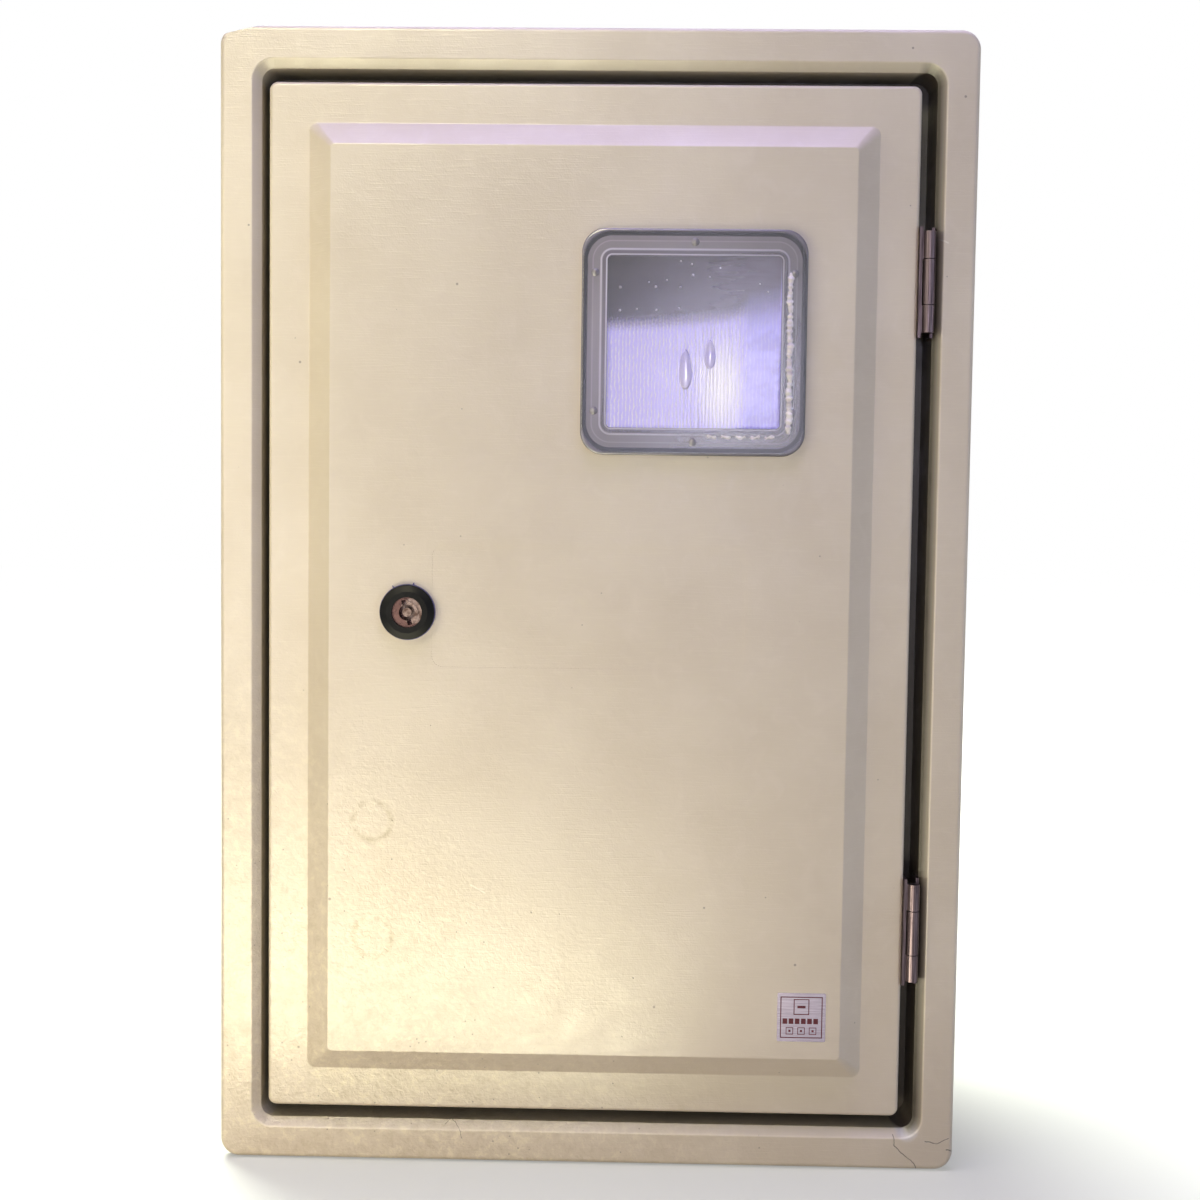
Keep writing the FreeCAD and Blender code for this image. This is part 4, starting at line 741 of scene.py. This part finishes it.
def domes(middles: np.ndarray, halves: np.ndarray, heights: np.ndarray, back: float, narrowing: float = 0.0,
          rings: int = 7, sides: int = 20) -> tuple[np.ndarray, list]:
    """Closed domes on a flat face, all at once.

    At share s of the way out and turn t, a dome's x is its middle plus s times its half width times
    cos(t) times (1 - narrowing sin(t)), its z is its middle plus s times its half height times
    sin(t), and its height is the whole height times (1 - s squared).

    Args:
        middles: Middle of each dome as x and z, N by 2.
        halves: Half width and half height of each, N by 2.
        heights: Height of each.
        back: Distance ahead of the origin at which the flat undersides lie.
        narrowing: How much slimmer the upper half is than the lower.
        rings: Rings from the rim to near the top.
        sides: Points in a ring.

    Returns:
        Points and faces.
    """
    share = np.linspace(1.0, 0.0, rings + 1)[:-1]
    turn = np.linspace(0, 2 * np.pi, sides, endpoint=False)
    wide = np.cos(turn) * (1 - narrowing * np.sin(turn))
    x = middles[:, 0, None, None] + halves[:, 0, None, None] * share[:, None] * wide
    z = middles[:, 1, None, None] + halves[:, 1, None, None] * share[:, None] * np.sin(turn)
    y = np.broadcast_to(-(back + heights[:, None, None] * (1 - share[:, None] ** 2)), x.shape)
    skin = np.stack([x, y, z], axis=-1).reshape(len(middles), -1, 3)
    poles = np.stack([np.stack([middles[:, 0], np.full(len(middles), -back) - rise, middles[:, 1]], axis=1)
                      for rise in (heights, 0 * heights)], axis=1)
    points = np.concatenate([skin, poles], axis=1)
    after = (np.arange(sides) + 1) % sides
    last = (rings - 1) * sides
    cap = np.stack([last + np.arange(sides), last + after, np.full(sides, rings * sides)], axis=1)
    foot = np.stack([after, np.arange(sides), np.full(sides, rings * sides + 1)], axis=1)
    single = ring_faces(rings, sides).tolist() + cap.tolist() + foot.tolist()
    step = points.shape[1]
    faces = [[corner + step * copy for corner in face] for copy in range(len(middles)) for face in single]
    return points.reshape(-1, 3), faces


@dataclass(frozen=True)
class CadPieces:
    """The CAD nodes, which are shown as they are, each with its finish."""

    finishes: tuple[tuple[Finish, str], ...] = (
        (SHELL_POLYESTER, "body_shell"), (DOOR_POLYESTER, "door_panel"), (CLEAR, "window_lens"),
        (SEAL, "window_seal lock_seal"), (FOAM, "door_gasket"), (NYLON, "lock_housing"),
        (ZINC_CASTING, "lock_core"), (FOIL, "door_label"), (GALVANISED, "mounting_plate"),
        (BRASS, "brass_inserts earth_bolt earth_washer earth_nut"),
        (ZINC_PLATE, "plate_washers plate_screws device_rail rail_screws strike_plate window_clips lock_nut "
                     "lock_cam cam_washer cam_screw"),
        (RIVET, "strike_rivets frame_leaf_rivets door_leaf_rivets"),
        (HINGE, "frame_leaf_upper frame_leaf_lower door_leaf_upper door_leaf_lower hinge_pin_upper "
                "hinge_pin_lower"))

    def build(self) -> None:
        """Gives each node its finish in every material slot."""
        for finish, names in self.finishes:
            for name in names.split():
                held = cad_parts[name]
                held.data.materials.clear()
                held.data.materials.append(finish.material())


@dataclass
class WindowTrim:
    """What lies round and on the pane: silicone in its joint, a clear bead, bubbles, dried runs and stud
    heads. Sizes in mm."""

    pane_face: float = 212.2
    lift: float = 0.02
    window: tuple[float, float] = (51.5, 140.0)
    stud_far: float = 52.0
    stud_near: float = 36.0
    stud_radius: float = 2.1
    stud_rise: float = 0.9
    drops: tuple[tuple[float, float, float, float, float], ...] = (
        (47.3, 126.0, 3.2, 10.5, 0.35), (60.0, 134.0, 2.9, 7.5, 0.35))
    strip_top: tuple[float, float] = (101.3, 176.8)
    strip_foot: tuple[float, float] = (101.9, 92.5)
    strip_half_width: float = 1.45
    strip_rise: float = 0.9
    strip_steps: int = 260
    dashes: int = 5
    dash_left: float = 58.0
    dash_right: float = 96.0
    dash_height: float = 91.0
    dash_half_width: float = 0.75
    dash_rise: float = 0.8
    dash_steps: int = 24
    edge_right: float = 96.4
    edge_foot: float = 95.9
    edge_top: float = 132.0
    edge_left: float = 74.0
    edge_half_width: float = 0.55
    edge_steps: int = 60
    bubbles: tuple[tuple[float, float, float], ...] = (
        (44.1, 182.1, 0.8), (49.9, 180.6, 0.9), (50.5, 175.0, 1.2), (44.1, 168.7, 1.0), (31.3, 168.8, 1.1),
        (37.0, 172.3, 0.8), (12.8, 168.4, 1.3), (31.7, 156.8, 1.0), (21.5, 157.2, 0.9), (12.7, 156.4, 1.1),
        (43.5, 157.7, 0.9), (85.4, 170.6, 0.7), (89.7, 166.6, 0.9), (64.7, 178.7, 0.7), (59.4, 174.0, 0.8),
        (27.6, 171.1, 0.7))

    def build(self) -> None:
        """Builds the strip, the dashes, the bead, the bubbles, the runs and the stud heads."""
        self.silicone()
        self.drop_edge()
        self.air()
        self.runs()
        self.studs()

    def silicone(self) -> None:
        """A crinkled strip beside the pane and a broken one below it. The half width is its mean times
        1 plus three unequal sine waves along the strip, and so is the height."""
        share = np.linspace(0, 1, self.strip_steps)
        start, end = np.array(self.strip_top), np.array(self.strip_foot)
        path = start + (end - start) * share[:, None]
        path[:, 0] += 0.25 * np.sin(share * 31) + 0.15 * np.sin(share * 57 + 1)
        wave = 0.20 * np.sin(share * 44) + 0.16 * np.sin(share * 137 + 2) + 0.14 * np.sin(share * 211 + 1)
        wide = self.strip_half_width * (0.9 + 0.25 * share + wave)
        rise = self.strip_rise * (1 + 0.4 * np.sin(share * 173) + wave)
        add_mesh("silicone_strip", *bead(path, wide, self.pane_face + self.lift, rise), SILICONE, Body.DOOR)
        edges = np.linspace(self.dash_left, self.dash_right, self.dashes + 1)
        for index, (low, high) in enumerate(zip(edges, edges[1:])):
            share = np.linspace(0, 1, self.dash_steps)
            path = np.stack([low + 0.8 + (high - low - 2.2) * share,
                             self.dash_height + 0.3 * np.sin(share * 5 + index)], axis=1)
            wide = self.dash_half_width * (1 + 0.3 * np.sin(share * 9 + 2 * index))
            rise = np.full(self.dash_steps, self.dash_rise)
            add_mesh(f"silicone_dash_{index + 1}", *bead(path, wide, self.pane_face + self.lift, rise),
                     SILICONE, Body.DOOR)

    def drop_edge(self) -> None:
        """A wavy clear bead that has run down the right of the pane and along its foot."""
        turn, sway, rise = self.edge_steps, 0.25, 0.5
        share = np.linspace(0, 1, turn)
        down = np.stack([np.full(turn, self.edge_right),
                         self.edge_top + (self.edge_foot - self.edge_top) * share], axis=1)
        along = np.stack([self.edge_right + (self.edge_left - self.edge_right) * share[1:],
                          np.full(turn - 1, self.edge_foot)], axis=1)
        path = np.concatenate([down, along])
        step = np.arange(len(path))
        path[:, 0] += sway * np.sin(step * 0.55) * (step < turn)
        path[:, 1] += sway * np.sin(step * 0.6) * (step >= turn)
        wide = self.edge_half_width * (1 + 0.35 * np.sin(step * 0.7))
        add_mesh("clear_run_edge", *bead(path, wide, self.pane_face + self.lift / 2,
                                         np.full(len(path), rise)), CLEAR, Body.DOOR)

    def air(self) -> None:
        """Flat domes on the pane, one for each trapped bubble, of which 0.62 of the size stands proud."""
        rows = np.array(self.bubbles)
        radius = rows[:, 2] * 0.62
        add_mesh("film_bubbles", *domes(rows[:, :2], np.stack([radius, radius], axis=1), radius / 2,
                                        self.pane_face + self.lift, sides=14), BUBBLE, Body.DOOR)

    def runs(self) -> None:
        """Two dried runs, each a long flat drop that is wider towards its foot."""
        rows = np.array(self.drops)
        add_mesh("dried_runs", *domes(rows[:, :2], rows[:, 2:4], rows[:, 4], self.pane_face + self.lift,
                                      narrowing=0.28, sides=32), RUN, Body.DOOR)

    def studs(self) -> None:
        """Rounded heads of the six studs that hold the window."""
        far, near = self.stud_far, self.stud_near
        places = np.array([(0.0, far), (0.0, -far), (far, near), (far, -near), (-far, near), (-far, -near)])
        add_mesh("stud_heads", *domes(places + self.window, np.full((6, 2), self.stud_radius),
                                      np.full(6, self.stud_rise), self.pane_face + self.lift, sides=24),
                 STUD, Body.DOOR)


@dataclass
class LabelPrint:
    """Plain printed shapes on the foil label: a border, a square outline, a row of blocks and three small
    squares round a dot. In mm."""

    middle: tuple[float, float] = (115.3, -219.0)
    face: float = 208.7
    ink: float = 0.03
    half: tuple[float, float] = (11.3, 11.3)
    line: float = 0.55
    blocks: int = 6

    def outline(self, left: float, right: float, low: float, high: float,
                line: float) -> list[tuple[float, ...]]:
        """The four bars of a rectangle's outline."""
        return [(left, right, low, low + line), (left, right, high - line, high),
                (left, left + line, low + line, high - line), (right - line, right, low + line, high - line)]

    def bars(self) -> np.ndarray:
        """Every printed bar as left, right, low and high about the label's middle: the border, the square
        outline with its dash, the row of blocks, and the small squares with their dots."""
        hx, hz = self.half
        rows = self.outline(-hx, hx, -hz, hz, self.line) + self.outline(-4.2, 4.2, 1.4, 10.0, 0.5)
        rows.append((-2.2, 2.2, 5.0, 6.4))
        edges = np.linspace(-10.0, 9.8, self.blocks + 1)
        rows += [(left, right - 0.8, -3.6, -0.6) for left, right in zip(edges, edges[1:])]
        for x in (-6.2, 0.0, 6.2):
            rows += self.outline(x - 2.0, x + 2.0, -9.4, -5.4, 0.4) + [(x - 0.6, x + 0.6, -8.0, -6.8)]
        return np.array(rows)

    def build(self) -> None:
        """Makes the ink as thin boxes: for each bar the eight corners of its outline and its two depths."""
        bars = self.bars() + np.array([self.middle[0]] * 2 + [self.middle[1]] * 2)
        front, rear = -(self.face + self.ink), -self.face
        corners = [(i, k, y) for y in (rear, front) for i, k in ((0, 2), (1, 2), (1, 3), (0, 3))]
        points = np.stack([np.stack([bars[:, i], np.full(len(bars), y), bars[:, k]], axis=1)
                           for i, k, y in corners], axis=1).reshape(-1, 3)
        box = np.array([[4, 5, 6, 7], [3, 2, 1, 0], [0, 1, 5, 4], [1, 2, 6, 5], [2, 3, 7, 6], [3, 0, 4, 7]])
        faces = (box[None] + 8 * np.arange(len(bars))[:, None, None]).reshape(-1, 4)
        add_mesh("label_print", points, faces, PRINT, Body.DOOR, smooth=False)


@dataclass(frozen=True)
class Lamp:
    """A rectangular area lamp that looks from one place at another, in metres and watts."""

    name: str
    at: tuple[float, float, float]
    target: tuple[float, float, float]
    size: tuple[float, float]
    power: float
    colour: str
    gloss_only: bool = False
    wash: bool = False

    def build(self) -> bpy.types.Object:
        """Adds the lamp. One for gloss alone shows in gloss and lights nothing, and a wash lights only
        the floor."""
        light = bpy.data.lights.new(self.name, "AREA")
        light.shape, light.size, light.size_y = "RECTANGLE", *self.size
        light.energy, light.color = self.power, linear(self.colour)[:3]
        made = bpy.data.objects.new(self.name, light)
        bpy.context.scene.collection.objects.link(made)
        if self.gloss_only:
            made.visible_camera = made.visible_diffuse = made.visible_transmission = False
        if self.wash:
            lit = bpy.data.collections.new(self.name + "_lights")
            lit.objects.link(bpy.data.objects["floor"])
            made.light_linking.receiver_collection = lit
        back = np.array(self.at) - np.array(self.target)
        back /= np.linalg.norm(back)
        right = np.cross([0.0, 0.0, 1.0], back)
        right /= np.linalg.norm(right)
        columns = np.stack([right, np.cross(back, right), back], axis=1)
        made.matrix_world = Matrix.Translation(self.at) @ Matrix(columns.tolist()).to_4x4()
        return made


@dataclass
class Studio:
    """A pale floor, soft lamps and the camera at the photograph's viewing angle."""

    floor_z: float = -0.3056
    lens: float = 50.52
    shift: tuple[float, float] = (0.0309, -0.0071)
    place: tuple[float, float, float] = (0.00237, -1.1, 0.06296)
    axes: tuple[tuple[float, ...], ...] = (
        (0.999713, -0.013216, 0.019961), (0.020729, 0.060706, -0.99794), (0.011977, 0.998068, 0.060962))
    lamps: tuple[Lamp, ...] = (
        Lamp("left_high", (-0.40, -0.47, 0.20), (0.0, -0.2, 0.15), (0.15, 0.15), 0.71, "#fff9d4"),
        Lamp("left_graze", (-0.50, -0.36, 0.20), (0.0, -0.2, 0.15), (0.15, 0.15), 0.15, "#ffe4b2"),
        Lamp("left_foot", (-0.30, -0.50, -0.27), (-0.12, -0.2, -0.30), (0.2, 0.1), 0.36, "#ffe8b0"),
        Lamp("foot", (-0.10, -0.75, -0.27), (-0.03, -0.2, -0.30), (0.5, 0.1), 0.96, "#fff0d8"),
        Lamp("top", (0.0, -0.45, 1.3), (0.0, -0.2, 0.0), (0.8, 0.8), 14.0, "#d6caff"),
        Lamp("right", (1.6, -1.3, 0.2), (0.0, -0.2, 0.0), (1.0, 1.0), 7.9, "#d8e4ff"),
        Lamp("back", (-0.65, 0.9, 1.6), (0.05, -0.4, -0.3), (0.7, 0.7), 11.0, "#ffffff"),
        Lamp("wash", (-0.65, 0.9, 1.6), (0.05, -0.4, -0.3), (1.1, 1.1), 100.0, "#ffffff", wash=True),
        Lamp("gloss_floor", (-0.2, -0.8, -0.295), (-0.2, -0.79, 0.5), (0.35, 0.7), 1.80, "#fffcc4", True),
        Lamp("gloss_foot", (-0.15, -0.42, -0.295), (-0.15, -0.41, 0.5), (0.4, 0.2), 4.40, "#fffad4", True),
        Lamp("gloss_low", (-0.35, -0.9, -0.2), (-0.1, -0.2, -0.1), (0.2, 0.2), 0.66, "#fff0d0", True),
        Lamp("gloss_left", (-0.5, -1.0, -0.05), (-0.1, -0.2, 0.0), (0.3, 0.4), 4.2, "#fff8e8", True),
        Lamp("gloss_top", (-0.3, -1.2, 0.9), (0.0, -0.2, 0.2), (0.6, 0.4), 28.0, "#fff6cc", True),
        Lamp("gloss_pane", (0.1025, -1.16, 0.185), (0.1025, -0.2, 0.185), (0.225, 0.134), 0.22, "#b0aaff",
             True),
        Lamp("gloss_glow", (0.134, -1.16, 0.176), (0.134, -0.2, 0.176), (0.037, 0.083), 1.60, "#ece8ff",
             True))
    # The floor as the camera, metal and glass see it, and as it lights the object from below.
    paper: str = "#b4b8a8"
    bounce: str = "#a8a598"
    # Painted shadow: the floor's own white is dimmed to this level within the near distance, and whole past
    # the far one.
    shadow_level: float = 0.32
    shadow_near: float = 0.38
    shadow_far: float = 0.75
    floor_reach: float = 6.0

    def build(self) -> None:
        """Sets the floor, the world, the lamps and the camera."""
        scene = bpy.context.scene
        scene.view_settings.view_transform = "Standard"
        self.floor()
        self.world(scene)
        for lamp in self.lamps:
            lamp.build()
        self.camera(scene)

    def floor(self) -> None:
        """A plane just below the object, white where no shadow falls but with a painted shadow that dims its
        white near the object, and that throws little light back.
        """
        mesh = bpy.data.meshes.new("floor")
        signs = ((-1, -1), (1, -1), (1, 1), (-1, 1))
        mesh.from_pydata([(i * self.floor_reach, j * self.floor_reach, self.floor_z) for i, j in signs],
                         [], [(0, 1, 2, 3)])
        made = bpy.data.objects.new("floor", mesh)
        bpy.context.scene.collection.objects.link(made)
        paper = bpy.data.materials.new("white_paper_floor")
        tree = emptied(paper)
        seen = self.seen(tree)
        colour = overlay(self.bounce, [(seen, Tint(self.paper))])
        diffuse = node("BsdfDiffuse", {"Color": colour})
        coords = node("TexCoord", tree=tree, out="Object")
        # Painted shadow: the floor's white, as the camera sees it, dims to the shadow level near the object.
        away = node("VectorMath", coords, operation="LENGTH", out="Value")
        level = node("MapRange", away, self.shadow_near, self.shadow_far, self.shadow_level, 1.0,
                     interpolation_type="SMOOTHSTEP")
        glow = joined("MULTIPLY", [seen, level])
        light = node("Emission", {"Color": (1.0,) * 4, "Strength": glow})
        both = node("AddShader", diffuse, light)
        node("OutputMaterial", {"Surface": both}, out=None)
        mesh.materials.append(paper)

    def seen(self, tree: Tree) -> Socket:
        """1 for the rays that show the background: the camera's, and those that metal and glass send on."""
        path = node("LightPath", tree=tree, out=None).outputs
        return joined("MAXIMUM", [path[f"Is {kind} Ray"] for kind in ("Camera", "Glossy", "Transmission")])

    def world(self, scene: bpy.types.Scene) -> None:
        """White where it is seen, and no light on anything."""
        made = bpy.data.worlds.new("studio_world")
        tree = emptied(made)
        white = node("Background", {"Color": (1.0,) * 4, "Strength": self.seen(tree)})
        node("OutputWorld", {"Surface": white}, out=None)
        scene.world = made

    def camera(self, scene: bpy.types.Scene) -> None:
        """The camera, from its right, up and back directions."""
        data = bpy.data.cameras.new("camera")
        data.sensor_width, data.lens = 36.0, self.lens
        data.shift_x, data.shift_y = self.shift
        made = bpy.data.objects.new("camera", data)
        scene.collection.objects.link(made)
        made.matrix_world = Matrix.Translation(self.place) @ Matrix(self.axes).to_4x4()
        scene.camera = made


def main() -> None:
    """Dresses the CAD nodes, builds the trim and sets the studio."""
    logging.basicConfig(level=logging.INFO)
    for part in (CadPieces(), WindowTrim(), LabelPrint(), Studio()):
        part.build()
        log.info("built %s", type(part).__name__)


if __name__ == "__main__":
    main()
